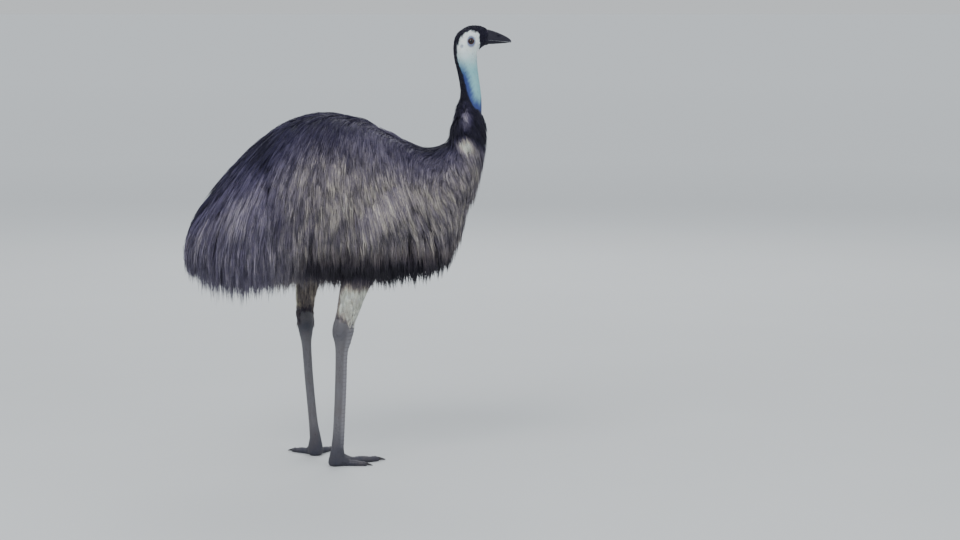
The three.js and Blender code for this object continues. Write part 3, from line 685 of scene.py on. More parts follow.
def tube(name, rings, sides):
    """A closed tube through rings of (middle, axes, half sizes), each a circle bridged to the last"""
    clear_selection()
    before = 0
    loops = []
    for n, (middle, axes, sizes) in enumerate(rings):
        turn = Matrix(np.array(axes).T.tolist()).to_euler()
        bpy.ops.mesh.primitive_circle_add(vertices=sides, radius=1, location=middle, rotation=turn)
        if n == 0:
            piece = settle(named(name))
            bpy.ops.object.mode_set(mode="EDIT")
            bpy.ops.mesh.select_mode(type="EDGE")
            bpy.ops.mesh.select_all(action="SELECT")
        stretch((*sizes, 1), middle, axes)
        loops.append(range(before, before + sides))
        if n:
            select_edges(piece, [*loops[-1], *loops[-2]])
            bpy.ops.mesh.bridge_edge_loops()
        before = len(bmesh.from_edit_mesh(piece.data).edges)
    for loop in (loops[0], loops[-1]):
        select_edges(piece, loop)
        bpy.ops.mesh.edge_face_add()
    bpy.ops.mesh.select_all(action="SELECT")
    bpy.ops.mesh.normals_make_consistent(inside=False)
    bpy.ops.object.mode_set(mode="OBJECT")
    return piece


def select_where(piece, chosen):
    """Selects the vertices of a piece in edit mode for which a test on their place holds"""
    pick(piece)
    bpy.ops.object.mode_set(mode="EDIT")
    bpy.ops.mesh.select_mode(type="VERT")
    bpy.ops.mesh.select_all(action="DESELECT")
    bpy.ops.object.mode_set(mode="OBJECT")
    places = vertex_places(piece)
    piece.data.vertices.foreach_set("select", np.asarray(chosen(places), bool))
    bpy.ops.object.mode_set(mode="EDIT")


def vertex_places(piece):
    """The places of a piece's vertices"""
    places = np.empty(len(piece.data.vertices) * 3, np.float32)
    piece.data.vertices.foreach_get("co", places)
    return places.reshape(-1, 3).astype(float)


def draw_out(piece, point, move, reach):
    """Draws the surface at a point along with a soft falloff, as by hand"""
    point = np.array(point) * MM + SHIFT
    places = vertex_places(piece)
    nearest = np.argmin(np.linalg.norm(places - point, axis=1))
    select_where(piece, lambda found: np.arange(len(found)) == nearest)
    bpy.ops.transform.translate(
        value=tuple(c * MM for c in move),
        use_proportional_edit=True,
        proportional_edit_falloff="SMOOTH",
        proportional_size=reach * MM,
    )
    bpy.ops.object.mode_set(mode="OBJECT")


def ball(name, middle, sizes, turn=(0, 0, 0), segments=32):
    """A closed rounded form of the given half sizes"""
    clear_selection()
    middle = tuple(np.array(middle) * MM + SHIFT)
    bpy.ops.mesh.primitive_uv_sphere_add(
        segments=segments, ring_count=segments // 2, radius=MM, location=middle, rotation=turn
    )
    piece = settle(named(name))
    bpy.ops.object.mode_set(mode="EDIT")
    bpy.ops.mesh.select_all(action="SELECT")
    axes = Euler(turn).to_matrix().transposed()
    stretch(sizes, middle, axes)
    bpy.ops.object.mode_set(mode="OBJECT")
    return piece


def write_attribute(piece, name, values):
    """Stores one number for each vertex"""
    layer = piece.data.attributes.new(name, "FLOAT", "POINT")
    layer.data.foreach_set("value", np.asarray(values, np.float32))


# Materials


class Value:
    """A number or colour that a node gives, for use in sums"""

    def __init__(self, finish, socket):
        self.finish, self.socket = finish, socket

    def work(self, operation, a, b):
        """The result of one step of arithmetic"""
        return self.finish.node("ShaderNodeMath", {"operation": operation}, {0: a, 1: b})

    def __add__(self, other):
        return self.work("ADD", self, other)

    __radd__ = __add__

    def __sub__(self, other):
        return self.work("SUBTRACT", self, other)

    def __rsub__(self, other):
        return self.work("SUBTRACT", other, self)

    def __mul__(self, other):
        return self.work("MULTIPLY", self, other)

    __rmul__ = __mul__


class Finish:
    """A material under construction"""

    def __init__(self, name):
        self.material = bpy.data.materials.new(name)
        self.material.use_nodes = True
        self.tree = self.material.node_tree
        self.tree.nodes.clear()

    def colour(self, name, share=1.0):
        """One of the bird's colours, by name, made darker or lighter"""
        return tuple(min(1, c * share) for c in getattr(bpy.context.scene.emu_colours, name))

    def node(self, kind, settings=None, sockets=None, out=0):
        """Any node: its settings come first, then the numbers or links of its sockets"""
        made = self.tree.nodes.new(kind)
        for key, value in (settings or {}).items():
            if key == "stops":
                self.stops(made, value)
            else:
                setattr(made, key, value)
        for key, value in (sockets or {}).items():
            if isinstance(value, Value):
                self.tree.links.new(value.socket, made.inputs[key])
            elif isinstance(value, (tuple, list)) and len(value) == 3:
                full = made.inputs[key].type == "RGBA"
                made.inputs[key].default_value = (*value, 1) if full else value
            else:
                made.inputs[key].default_value = value
        return Value(self, made.outputs[out]) if made.outputs else made

    def stops(self, ramp, stops):
        """Places and greys or colours of a ramp"""
        points = ramp.color_ramp.elements
        while len(points) < len(stops):
            points.new(0.5)
        for point, (place, colour) in zip(points, stops):
            point.position = place
            point.color = (*colour, 1) if isinstance(colour, tuple) else (colour,) * 3 + (1,)

    def attribute(self, name):
        """A number stored on the piece"""
        return self.node("ShaderNodeAttribute", {"attribute_name": name}, out=2)

    def place(self):
        """The place on the piece itself"""
        return self.node("ShaderNodeTexCoord", out=3)

    def mapped(self, scale, turn=(0, 0, 0)):
        """The piece's own place, scaled for a pattern"""
        return self.node("ShaderNodeMapping", {}, {0: self.place(), 2: turn, 3: scale})

    def noise(self, scale, detail=3, vector=None):
        """An uneven pattern from 0 to 1"""
        sockets = {"Scale": scale, "Detail": detail, "Roughness": 0.6, "Vector": vector or self.place()}
        return self.node("ShaderNodeTexNoise", {}, sockets)

    def ramp(self, value, stops):
        """A colour that goes with a number"""
        return self.node("ShaderNodeValToRGB", {"stops": stops}, {0: value})

    def grey(self, value, stops):
        """A number reshaped by a ramp"""
        return self.node("ShaderNodeMath", {"operation": "ADD"}, {0: self.ramp(value, stops), 1: 0.0})

    def blend(self, a, b, share, how="MIX"):
        """Two colours mixed"""
        settings = {"data_type": "RGBA", "blend_type": how}
        return self.node("ShaderNodeMix", settings, {0: share, 6: a, 7: b}, out=2)

    def bump(self, height, distance, strength=1.0):
        """Relief from a height from 0 to 1 and its depth in metres"""
        sockets = {"Strength": strength, "Distance": distance, "Height": height}
        return self.node("ShaderNodeBump", {}, sockets)

    def shader(self, **sockets):
        """The surface itself, from plain names such as base_color, and its output"""
        given = {key.replace("_", " ").title().replace("Ior", "IOR"): v for key, v in sockets.items()}
        surface = self.node("ShaderNodeBsdfPrincipled", {}, given)
        self.node("ShaderNodeOutputMaterial", {}, {0: surface})
        return self.material


def plumage_colour(finish, pale, cool):
    """The colour of plumage from black through grey-brown to straw, colder or warmer by cool"""
    # The top tone, down, is where the painted sunlight patches land
    places = {"black": 0.0, "back": 0.18, "flank": 0.5, "streak": 0.82, "down": 1.0}
    plain = finish.ramp(pale, [(place, finish.colour(name)) for name, place in places.items()])
    cold = finish.blend(plain, (0.58, 0.57, 1.0), cool * 0.9, "MULTIPLY")
    return finish.blend(cold, (1.0, 0.9, 0.72), cool * -1, "MULTIPLY")


def plumage_finish():
    """Loose double-shafted plumes: streaked, darker at the tips, and darker towards the roots as painted
    shade
    """
    if "feather strands" in bpy.data.materials:
        return bpy.data.materials["feather strands"]
    finish = Finish("feather strands")
    along = finish.attribute("along")
    tint = finish.attribute("tint")
    fine = finish.noise(190, 2, finish.mapped((1, 1, 0.35)))
    patch = finish.noise(34, 2, finish.mapped((1, 1, 0.45)))
    base = finish.attribute("pale")
    vary = (tint - 0.5) * 0.6 + (fine - 0.5) * 0.25 + (patch - 0.5) * 0.5
    strength = finish.grey(base, [(0.0, 0.08), (0.12, 0.25), (0.5, 0.9), (0.85, 0.7), (1.0, 0.35)])
    # Dark tips of the plumes, and painted shade towards their roots where they lie under others
    tip = finish.grey(along, [(0.0, 0.24), (0.36, 0.06), (0.6, 0.0), (0.84, 0.0), (1.0, 0.22)])
    cool = finish.attribute("cool") + (finish.noise(60, 2) - 0.5) * 0.7
    colour = plumage_colour(finish, base + vary * strength - tip * (1.1 - base), cool)
    return finish.shader(
        base_color=colour,
        roughness=0.62 + (fine - 0.5) * 0.3,
        specular_ior_level=0.25,
        sheen_weight=0.06,
        sheen_roughness=0.5,
        normal=finish.bump(fine, 0.0006),
    )


def skin_finish():
    """Bare pale blue neck and face; under the plumage the skin takes its markings darkened as painted
    shade, and it is dark over the crown
    """
    finish = Finish("bare neck skin")
    patch = finish.noise(34, 3)
    fine = finish.noise(420, 3)
    # Painted shade: skin under the plumage in its markings, darker, so gaps between plumes read as
    # shadow
    under = plumage_colour(finish, finish.attribute("pale") * 0.6, finish.attribute("cool"))
    height = finish.node("ShaderNodeSeparateXYZ", {}, {0: finish.place()}, out=2)
    low = finish.node(
        "ShaderNodeMapRange", {"interpolation_type": "SMOOTHSTEP"}, {0: height, 1: 1.39, 2: 1.3}
    )
    pale = finish.blend(finish.colour("face"), finish.colour("throat"), low * 0.85)
    pale = finish.blend(pale, finish.colour("throat", 0.74), (patch - 0.35) * 0.6)
    bare = finish.blend(pale, finish.colour("blue"), finish.attribute("blue"))
    bare = finish.blend(bare, finish.colour("lid"), finish.attribute("dark") * 0.85)
    colour = finish.blend(under, bare, finish.attribute("bare"))
    folds = finish.node(
        "ShaderNodeTexWave",
        {"bands_direction": "Z"},
        {"Vector": finish.place(), "Scale": 70.0, "Distortion": 9.0, "Detail": 3.0, "Detail Scale": 2.2},
    )
    pores = finish.node("ShaderNodeTexVoronoi", {}, {"Vector": finish.place(), "Scale": 700.0})
    relief = folds * 0.7 + pores * 0.5 + fine * 0.4
    return finish.shader(
        base_color=finish.blend(colour, (0.55, 0.56, 0.6), pores * 0.35, "MULTIPLY"),
        roughness=0.48 + fine * 0.2,
        subsurface_weight=0.06,
        subsurface_scale=0.004,
        normal=finish.bump(relief, 0.0009, 0.7),
    )


def scute_finish():
    """Horny leg and toe scales: mauve grey shins, darker joints, toes dark partly in their own horn and
    partly as painted shade, and painted shade on the far leg
    """
    finish = Finish("leg scutes")
    cells = finish.node(
        "ShaderNodeTexVoronoi",
        {"feature": "DISTANCE_TO_EDGE"},
        {"Vector": finish.mapped((1, 1, 0.85)), "Scale": 250.0, "Randomness": 0.7},
    )
    patch = finish.noise(22, 3)
    fine = finish.noise(260, 4)
    plates = finish.attribute("plates")
    dark = finish.attribute("dark")
    ragged = finish.attribute("level") + (finish.noise(90, 2) - 0.5) * 0.12
    to_seam = finish.node("ShaderNodeMath", {"operation": "PINGPONG"}, {0: ragged, 1: 0.5})
    plate_seam = finish.grey(to_seam, [(0.0, 1.0), (0.03, 0.8), (0.1, 0.0)]) * plates
    cell_seam = finish.grey(cells, [(0.0, 1.0), (0.09, 0.0)]) * (1 - plates)
    seams = plate_seam + cell_seam
    base = finish.blend(finish.colour("scute"), finish.colour("foot"), dark)
    base = finish.blend(base, (0.13, 0.105, 0.09), (patch - 0.42) * 0.9)
    worn = finish.blend(base, finish.colour("scute", 1.8), plates * (1 - dark) * 0.35)
    colour = finish.blend(worn, (0.42, 0.39, 0.4), seams * 0.8, "MULTIPLY")
    relief = (1 - seams) + fine * 0.35
    return finish.shader(
        base_color=finish.blend(colour, (0.55, 0.53, 0.58), fine * 0.45, "MULTIPLY"),
        roughness=0.46 + fine * 0.25,
        normal=finish.bump(relief, 0.0014, 0.9),
    )


def bill_finish():
    """Dark horn, paler along the cutting edge and at the nail"""
    finish = Finish("bill horn")
    grain = finish.noise(130, 4, finish.mapped((0.25, 1, 1.6)))
    fine = finish.noise(600, 2)
    edge = finish.attribute("edge")
    colour = finish.blend(finish.colour("bill"), finish.colour("bill", 1.9), edge * 0.45)
    colour = finish.blend(colour, finish.colour("bill", 0.45), grain * 0.9)
    return finish.shader(
        base_color=colour,
        roughness=0.42 + grain * 0.22,
        specular_ior_level=0.3,
        normal=finish.bump(grain + fine * 0.3, 0.0006, 0.6),
    )


def eye_finish():
    """Brown iris round a black pupil under a wet surface"""
    finish = Finish("wet eye")
    away = finish.attribute("away")
    spoke = finish.noise(900, 3)
    pupil = (0.002, 0.002, 0.003)
    stops = [(0.0, pupil), (0.56, pupil)]
    for place, share in ((0.6, 0.7), (0.7, 1.7), (0.8, 1.0), (0.88, 0.25)):
        stops.append((place, finish.colour("iris", share)))
    stops.append((1.0, (0.05, 0.045, 0.05)))
    colour = finish.ramp(away + (spoke - 0.5) * 0.07, stops)
    return finish.shader(
        base_color=colour,
        roughness=0.1,
        specular_ior_level=0.2,
        coat_weight=0.4,
        coat_roughness=0.02,
    )


def claw_finish():
    """Dark horn with grain and worn tips"""
    finish = Finish("claw horn")
    grain = finish.noise(240, 4)
    tip = finish.attribute("edge")
    colour = finish.blend(finish.colour("claw"), finish.colour("claw", 3.2), tip * 0.6)
    colour = finish.blend(colour, finish.colour("claw", 0.5), grain * 0.7)
    return finish.shader(
        base_color=colour, roughness=0.34 + grain * 0.25, normal=finish.bump(grain, 0.0005, 0.6)
    )


# Plumage


def surface_frame(surface, place, turn, height):
    """Point, steps along and round, and outward direction of a surface"""
    point = surface(place, turn, height)
    along = (surface(place + STEP, turn, height) - point) / STEP
    around = (surface(place, turn + STEP, height) - point) / STEP
    return point, along, around, normal(np.cross(along, around))


def scatter(surface, places, turns, apart, draw, cells=90):
    """Roots spread evenly over a stretch of surface"""
    place, turn = np.meshgrid(
        mix(*places, (np.arange(cells) + 0.5) / cells),
        mix(*turns, (np.arange(cells) + 0.5) / cells),
        indexing="ij",
    )
    _, along, around, _ = surface_frame(surface, place, turn, 0.2 + 0 * place)
    cell = abs(places[1] - places[0]) * abs(turns[1] - turns[0]) / cells**2
    area = np.linalg.norm(np.cross(along, around), axis=-1) * cell
    spacing = apart(place, turn) if callable(apart) else apart
    count = np.floor(area / spacing**2 + draw.random(area.shape)).astype(int).ravel()
    place, turn = np.repeat(place.ravel(), count), np.repeat(turn.ravel(), count)
    place += (draw.random(place.shape) - 0.5) * (places[1] - places[0]) / cells
    turn += (draw.random(turn.shape) - 0.5) * (turns[1] - turns[0]) / cells
    return place, turn


def plume_paths(surface, flow, roots, length, root, start, reach, curl, steps=7, hanging=True):
    """Paths that rise from the skin, follow the lie of the coat and hang free below the body"""
    place, turn = (np.array(part) for part in roots)
    step = length / steps
    points, outs, aheads = [], [], []
    free = np.zeros(place.shape, bool)
    drop = np.full(place.shape, FALL["drop"])
    for n in range(steps + 1):
        height = root if n == 0 else mix(start, reach, n / steps)
        point, along, around, out = surface_frame(surface, place, turn, height + 0 * place)
        if n == 0 and hanging:
            start = mix(start, start + FALL["ridge"], smooth(out[:, 2], *TOP))
        ahead = flow(point, out)
        bend = (curl * (n / steps - 0.4))[:, None]
        ahead = normal(ahead * np.cos(bend) + np.cross(out, ahead) * np.sin(bend))
        if hanging:
            under = (out[:, 2] < FALL["under"])[:, None]
            ahead = np.where(under, normal(ahead * 0.3 - np.array((0, 0, 1.0))), ahead)
        if n:
            down = normal(mix(aheads[-1], np.array((0, 0, -1.0)), drop[:, None]))
            ahead = np.where(free[:, None], down, ahead)
            point = np.where(free[:, None], points[-1] + down * step[:, None], point)
            out = np.where(free[:, None], outs[-1], out)
        points.append(point)
        outs.append(out)
        aheads.append(ahead)
        # The step ahead, measured in places along the body and turns round it
        aa, ab, bb = ((p * q).sum(-1) for p, q in ((along, along), (along, around), (around, around)))
        a, b = ((ahead * way).sum(-1) * step for way in (along, around))
        scale = np.maximum(aa * bb - ab * ab, 1e-12)
        place = np.clip(place + np.where(free, 0, (a * bb - b * ab) / scale), *PATH_PLACES)
        turn = turn + np.where(free, 0, (b * aa - a * ab) / scale)
        if hanging:
            ended = place < FALL["behind"]
            drop = np.where(ended & ~free, FALL["end_drop"], drop)
            free |= (out[:, 2] < FALL["under"]) | ended
    return np.stack(points, 1), np.stack(outs, 1), np.stack(aheads, 1)


def fringe(x):
    """The lowest that the plumage hangs at a distance along the bird"""
    line = spline(SHAPE[:, 2:4], np.linspace(0, PLACE["chest"], 200))
    return np.interp(x, line[:, 0], line[:, 1])


def strands(paths, roots, draw, count, width, spread, limit=None, wave=0.004, rings=4):
    """Thin frayed strands along each plume: their corners, roots, tints and where they are seen"""
    points = paths[0]
    plumes, knots = points.shape[:2]
    size = (plumes, count)
    aside = (np.arange(count) - (count - 1) / 2) / max(1, count - 1)
    aside = aside + draw.uniform(-0.5, 0.5, size) / count
    aside = aside * np.where(draw.random(size) < STRAY["share"], STRAY["reach"], 1.0)
    lift = STRAY["rise"] * (1 - np.minimum(1, 4 * aside**2)) + draw.uniform(-0.3, 0.5, size)
    longest = 1.0 if limit is None else limit[:, None]
    length = draw.uniform(0.68, 1.0, size) * (1 - 0.35 * np.abs(aside)) * longest
    phase = draw.uniform(0, 6.28, size)
    sway = draw.uniform(0.3, 1.0, size) * wave
    roll = draw.uniform(-0.7, 0.7, size)
    share = np.linspace(0, 1, rings + 1)
    at = length[..., None] * share * (knots - 1)
    low = np.clip(np.floor(at).astype(int), 0, knots - 2)
    part = (at - low)[..., None]
    index = np.arange(plumes)[:, None, None]
    middle, out, ahead = (mix(rows[index, low], rows[index, low + 1], part) for rows in paths)
    out, ahead = normal(out), normal(ahead)
    across = normal(np.cross(out, ahead))
    fan = mix(0.5, 0.22, share) + 0.75 * np.sin(share**0.8 * math.pi)
    drift = sway[..., None] * np.sin(phase[..., None] + share * 5.0) * share
    spread = np.broadcast_to(spread, (plumes,))[:, None, None]
    middle = middle + across * (aside[..., None] * fan * spread + drift)[..., None]
    arch = spread * STRAY["arch"] * np.sin(share * 2.6)
    middle = middle + out * (lift[..., None] * arch)[..., None]
    turned = roll[..., None, None]
    flat = across * np.cos(turned) + out * np.sin(turned)
    proud = np.cross(ahead, flat) * -1
    taper = np.interp(share[:-1], *TAPER)
    thick = np.broadcast_to(width, (plumes,))[:, None] * draw.uniform(0.5, 1.15, size) / 2
    half = (thick[..., None] * taper)[..., None]
    ring = middle[..., :rings, :]
    left = ring - flat[..., :rings, :] * half
    right = ring + flat[..., :rings, :] * half
    ridge = ring + proud[..., :rings, :] * half * 0.9
    corners = np.stack([left, right, ridge], -2)
    shape = (plumes * count, rings * 3, 3)
    tips = middle[..., rings, :].reshape(plumes * count, 1, 3)
    corners = np.concatenate([corners.reshape(shape), tips], axis=1)
    tint = np.clip(draw.random((plumes, 1)) * 0.7 + draw.random(size) * 0.3, 0, 1).ravel()
    places = [np.repeat(r, count) + draw.normal(0, PATCH["scatter"], plumes * count) for r in roots]
    seen = mix(points[:, 0], points[:, int(round(0.7 * (knots - 1)))], 0.85)
    seen = mix(middle, seen[:, None, None], 0.45).reshape(plumes * count, rings + 1, 3)
    return corners, *places, tint, seen


def strand_faces(rings):
    """Triangles of one closed strand, facing outward"""
    faces = [(0, 2, 1)]
    for ring in range(rings - 1):
        for n in range(3):
            a, b = ring * 3 + n, ring * 3 + (n + 1) % 3
            faces += [(a, b, b + 3), (a, b + 3, a + 3)]
    last, tip = (rings - 1) * 3, rings * 3
    faces += [(last + n, last + (n + 1) % 3, tip) for n in range(3)]
    return np.array(faces)


def coat_piece(name, parts, finish):
    """One mesh from arrays of strands, with its markings and its bake map"""
    corners, places, turns, tints, seen = (np.concatenate(rows) for rows in zip(*parts))
    number, each = corners.shape[:2]
    rings = each // 3
    faces = strand_faces(rings)
    loops = (faces[None] + (np.arange(number) * each)[:, None, None]).reshape(-1)
    mesh = bpy.data.meshes.new(name)
    mesh.vertices.add(number * each)
    mesh.vertices.foreach_set("co", (corners.reshape(-1, 3) + SHIFT).astype(np.float32).ravel())
    mesh.loops.add(len(loops))
    mesh.loops.foreach_set("vertex_index", loops.astype(np.int32))
    mesh.polygons.add(len(loops) // 3)
    mesh.polygons.foreach_set("loop_start", np.arange(0, len(loops), 3, dtype=np.int32))
    mesh.polygons.foreach_set("use_smooth", np.ones(len(loops) // 3, bool))
    mesh.update(calc_edges=True)
    mesh.validate()
    piece = bpy.data.objects.new(name, mesh)
    bpy.context.scene.collection.objects.link(piece)
    ring = np.append(np.repeat(np.arange(rings), 3), rings)
    along = ring / rings
    write_attribute(piece, "along", np.tile(along, number))
    write_attribute(piece, "tint", np.repeat(tints, each))
    marks = markings(seen)
    for key in ("pale", "cool"):
        write_attribute(piece, key, marks[key][:, ring].ravel())
    root = []
    for values in (places, turns):
        root.append(0.02 + 0.95 * (values - values.min()) / max(np.ptp(values), 1e-6))
    root = np.stack(root, -1)
    side = np.append(np.tile((0.0, 0.5, 1.0), rings), 0.5)
    patch = np.stack([side, along], -1) * PATCH["size"]
    where = (root[:, None] + patch[None])[:, faces].reshape(-1, 2)
    layer = mesh.uv_layers.new(name="OFBake")
    layer.uv.foreach_set("vector", where.astype(np.float32).ravel())
    return dressed(piece, finish)


# Pieces


def body_rings(start, end, count):
    """Rings of the skin between two places of the body"""
    rings = []
    for place in np.linspace(start, end, count):
        (centre,), (depth,), (width,), (up,), _ = body_section(np.array([place]), SKIN_HEIGHT)
        ahead = np.array((up[2], 0, -up[0]))
        rings.append((centre + SHIFT, (up, np.cross(ahead, up), ahead), (depth, width)))
    return rings


def leg_rings(side, part, places, grow=(0.0, 0.0)):
    """Rings round the middle line of a thigh or shank, with their depth along its heading"""
    rows = leg_rows(side, part)
    way, _ = leg_ways(side, part)
    rings = []
    for place in places:
        row = spline(rows, np.array([place]))[0]
        near = spline(rows, np.array([min(place + 0.05, len(rows) - 1), max(place - 0.05, 0)]))
        down = normal(near[0, :3] - near[1, :3])
        fore = normal(way - down * (way @ down))
        thick = np.interp(place, np.arange(len(grow)), grow)
        sizes = (row[3] + thick, row[4] + thick)
        rings.append((row[:3] + SHIFT, (fore, np.cross(down, fore), down), sizes))
    return rings


class EMU_OT_skin(bpy.types.Operator):
    """Models the seamless skin of the trunk, thighs, neck and head"""

    bl_idname = "emu.skin"
    bl_label = "Skin"

    def execute(self, context):
        skin = tube("skin", body_rings(*SKIN_PLACES["trunk"], 56), 40)
        for side in SIDES:
            rings = leg_rings(side, "thigh", np.linspace(0, 4.75, 16), -THIGH_COAT)
            combine(skin, tube("thigh", rings, 32))
        combine(skin, self.head())
        shade(skin, 70)
        marks = markings(vertex_places(skin) - SHIFT)
        for key, values in marks.items():
            write_attribute(skin, key, values)
        dressed(skin, skin_finish())
        nodes = ["torso", "tail", "neck_lower", "neck_upper", "head"]
        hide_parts(*nodes, "thigh_right", "thigh_left")
        return {"FINISHED"}

    def head(self):
        """The neck's bare length and the head, with brow, lids, gape and ears"""
        rings = body_rings(*SKIN_PLACES["head"], 70)
        centre, axes, sizes = rings[-1]
        for ahead, share in ((0.0012, 0.97), (0.0016, 0.86)):
            rings.append((centre + np.array((ahead, 0, 0)), axes, [c * share for c in sizes]))
        head = tube("head", rings, 48)
        for side in (-1, 1):
            for x, z, out, reach in HEAD_FORMS:
                draw_out(head, (x, side * 31, z), (0, side * out, 0), reach)
        for side in (-1, 1):
            x, y, z, radius = (EYE[key] for key in ("x", "y", "z", "radius"))
            combine(head, self.lid_ring(side))
            socket = ball("socket", (x, side * y, z), (radius - 0.4,) * 3)
            combine(head, socket, "DIFFERENCE")
            ear = ball("ear", (EAR["x"], side * EAR["y"], EAR["z"]), (EAR["long"], 5, EAR["high"]))
            combine(head, ear, "DIFFERENCE")
        gape = ball("gape", (BILL_BASE, 0, GAPE["z"]), (BILL_BASE - GAPE["from"], 40, GAPE["high"]))
        combine(head, gape, "DIFFERENCE")
        apply(head, "REMESH", mode="VOXEL", voxel_size=0.0013, adaptivity=0.0)
        apply(head, "SMOOTH", factor=0.5, iterations=3)
        return head

    def lid_ring(self, side):
        """The fleshy rim of the lids round one eye"""
        clear_selection()
        bpy.ops.mesh.primitive_torus_add(
            major_segments=40,
            minor_segments=12,
            major_radius=LIDS["radius"] * MM,
            minor_radius=LIDS["thick"] * MM,
            location=tuple(np.array((EYE["x"], side * (EYE["y"] + LIDS["out"]), EYE["z"])) * MM + SHIFT),
            rotation=(math.pi / 2, 0, 0),
        )
        lids = settle(named("lids"))
        bpy.ops.object.mode_set(mode="EDIT")
        bpy.ops.mesh.select_all(action="SELECT")
        stretch(LIDS["shape"], np.array((EYE["x"], side * EYE["y"], EYE["z"])) * MM + SHIFT)
        bpy.ops.object.mode_set(mode="OBJECT")
        return lids


class EMU_OT_eyes(bpy.types.Operator):
    """Models both eyes, with a bulging cornea and a coloured iris"""

    bl_idname = "emu.eyes"
    bl_label = "Eyes"

    def execute(self, context):
        finish = eye_finish()
        for side, sign in SIDES.items():
            middle = (EYE["x"], sign * EYE["y"], EYE["z"])
            eye = ball(f"eyeball_{side}", middle, (EYE["radius"],) * 3, (math.radians(90), 0, 0), 48)
            centre = np.array(middle) * MM + SHIFT
            cornea = EYE["radius"] * MM * 0.86
            select_where(eye, lambda p: (p[:, 1] - centre[1]) * sign > cornea)
            bpy.ops.transform.translate(
                value=(0, sign * 0.0008, 0),
                use_proportional_edit=True,
                proportional_edit_falloff="SMOOTH",
                proportional_size=0.006,
            )
            bpy.ops.object.mode_set(mode="OBJECT")
            offset = vertex_places(eye) - centre
            away = np.hypot(offset[:, 0], offset[:, 2]) / (0.95 * EYE["radius"] * MM)
            away = np.where(offset[:, 1] * sign > 0, away, 1)
            write_attribute(eye, "away", np.clip(away, 0, 1))
            shade(eye)
            dressed(eye, finish)
            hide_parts(f"eye_{side}")
        return {"FINISHED"}


class EMU_OT_bill(bpy.types.Operator):
    """Models the upper and lower bill, with nostrils, a ridge and a nail"""

    bl_idname = "emu.bill"
    bl_label = "Bill"

    def execute(self, context):
        finish = bill_finish()
        upper = self.half("upper", 1)
        for side in (-1, 1):
            turn = (math.radians(20 * side), math.radians(14), math.radians(-14 * side))
            for name, n in (("hollow", HOLLOW), ("nostril", NOSTRIL)):
                place = (n["x"], side * n["y"], n["z"])
                cut = ball(name, place, (n["long"], n["deep"], n["high"]), turn)
                combine(upper, cut, "DIFFERENCE")
        lower = self.half("lower", 3)
        for bill, node in ((upper, "bill_upper"), (lower, "bill_lower")):
            places = vertex_places(bill) - SHIFT
            mouth = np.interp(
                places[:, 0],
                [(BILL_BASE + row[0]) * MM for row in BILL_ROWS],
                [row[2] * MM for row in BILL_ROWS],
            )
            edge = 1 - smooth(np.abs(places[:, 2] - mouth), 0.0005, 0.005)
            tip = smooth(places[:, 0], 0.52, 0.541)
            write_attribute(bill, "edge", np.maximum(edge * 0.7, tip))
            shade(bill, 50)
            dressed(bill, finish)
            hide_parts(node)
        return {"FINISHED"}

    def half(self, name, column):
        """One half of the bill: rounded rings cut flat along the mouth line"""
        gap = 0.35 * MM * (1 if column == 1 else -1)
        axes = ((0, 0, 1), (0, 1, 0), (-1, 0, 0))
        rings = []
        table = np.array(BILL_ROWS, float)
        for place in np.linspace(0, len(BILL_ROWS) - 1, 30):
            row = spline(table, np.array([place]))[0]
            middle = np.array((BILL_BASE + row[0], 0, row[2])) * MM + SHIFT
            width = row[4] if column == 1 else row[4] * 0.93
            rings.append((middle, axes, (abs(row[column] - row[2]) * MM, width * MM)))
        bill = tube(f"bill_{name}_horn", rings, 40)
        select_where(bill, lambda p: np.ones(len(p), bool))
        start, end = rings[2][0], rings[-4][0]
        slope = np.cross(end - start, (0, 1, 0)) * -1
        bpy.ops.mesh.bisect(
            plane_co=tuple(start + np.array((0, 0, gap))),
            plane_no=tuple(normal(slope) * (1 if slope[2] > 0 else -1)),
            use_fill=True,
            clear_inner=column == 1,
            clear_outer=column != 1,
        )
        bpy.ops.mesh.select_all(action="SELECT")
        bpy.ops.mesh.normals_make_consistent(inside=False)
        bpy.ops.object.mode_set(mode="OBJECT")
        return apply(bill, "BEVEL", width=0.0006, segments=2, limit_method="ANGLE", angle_limit=0.9)


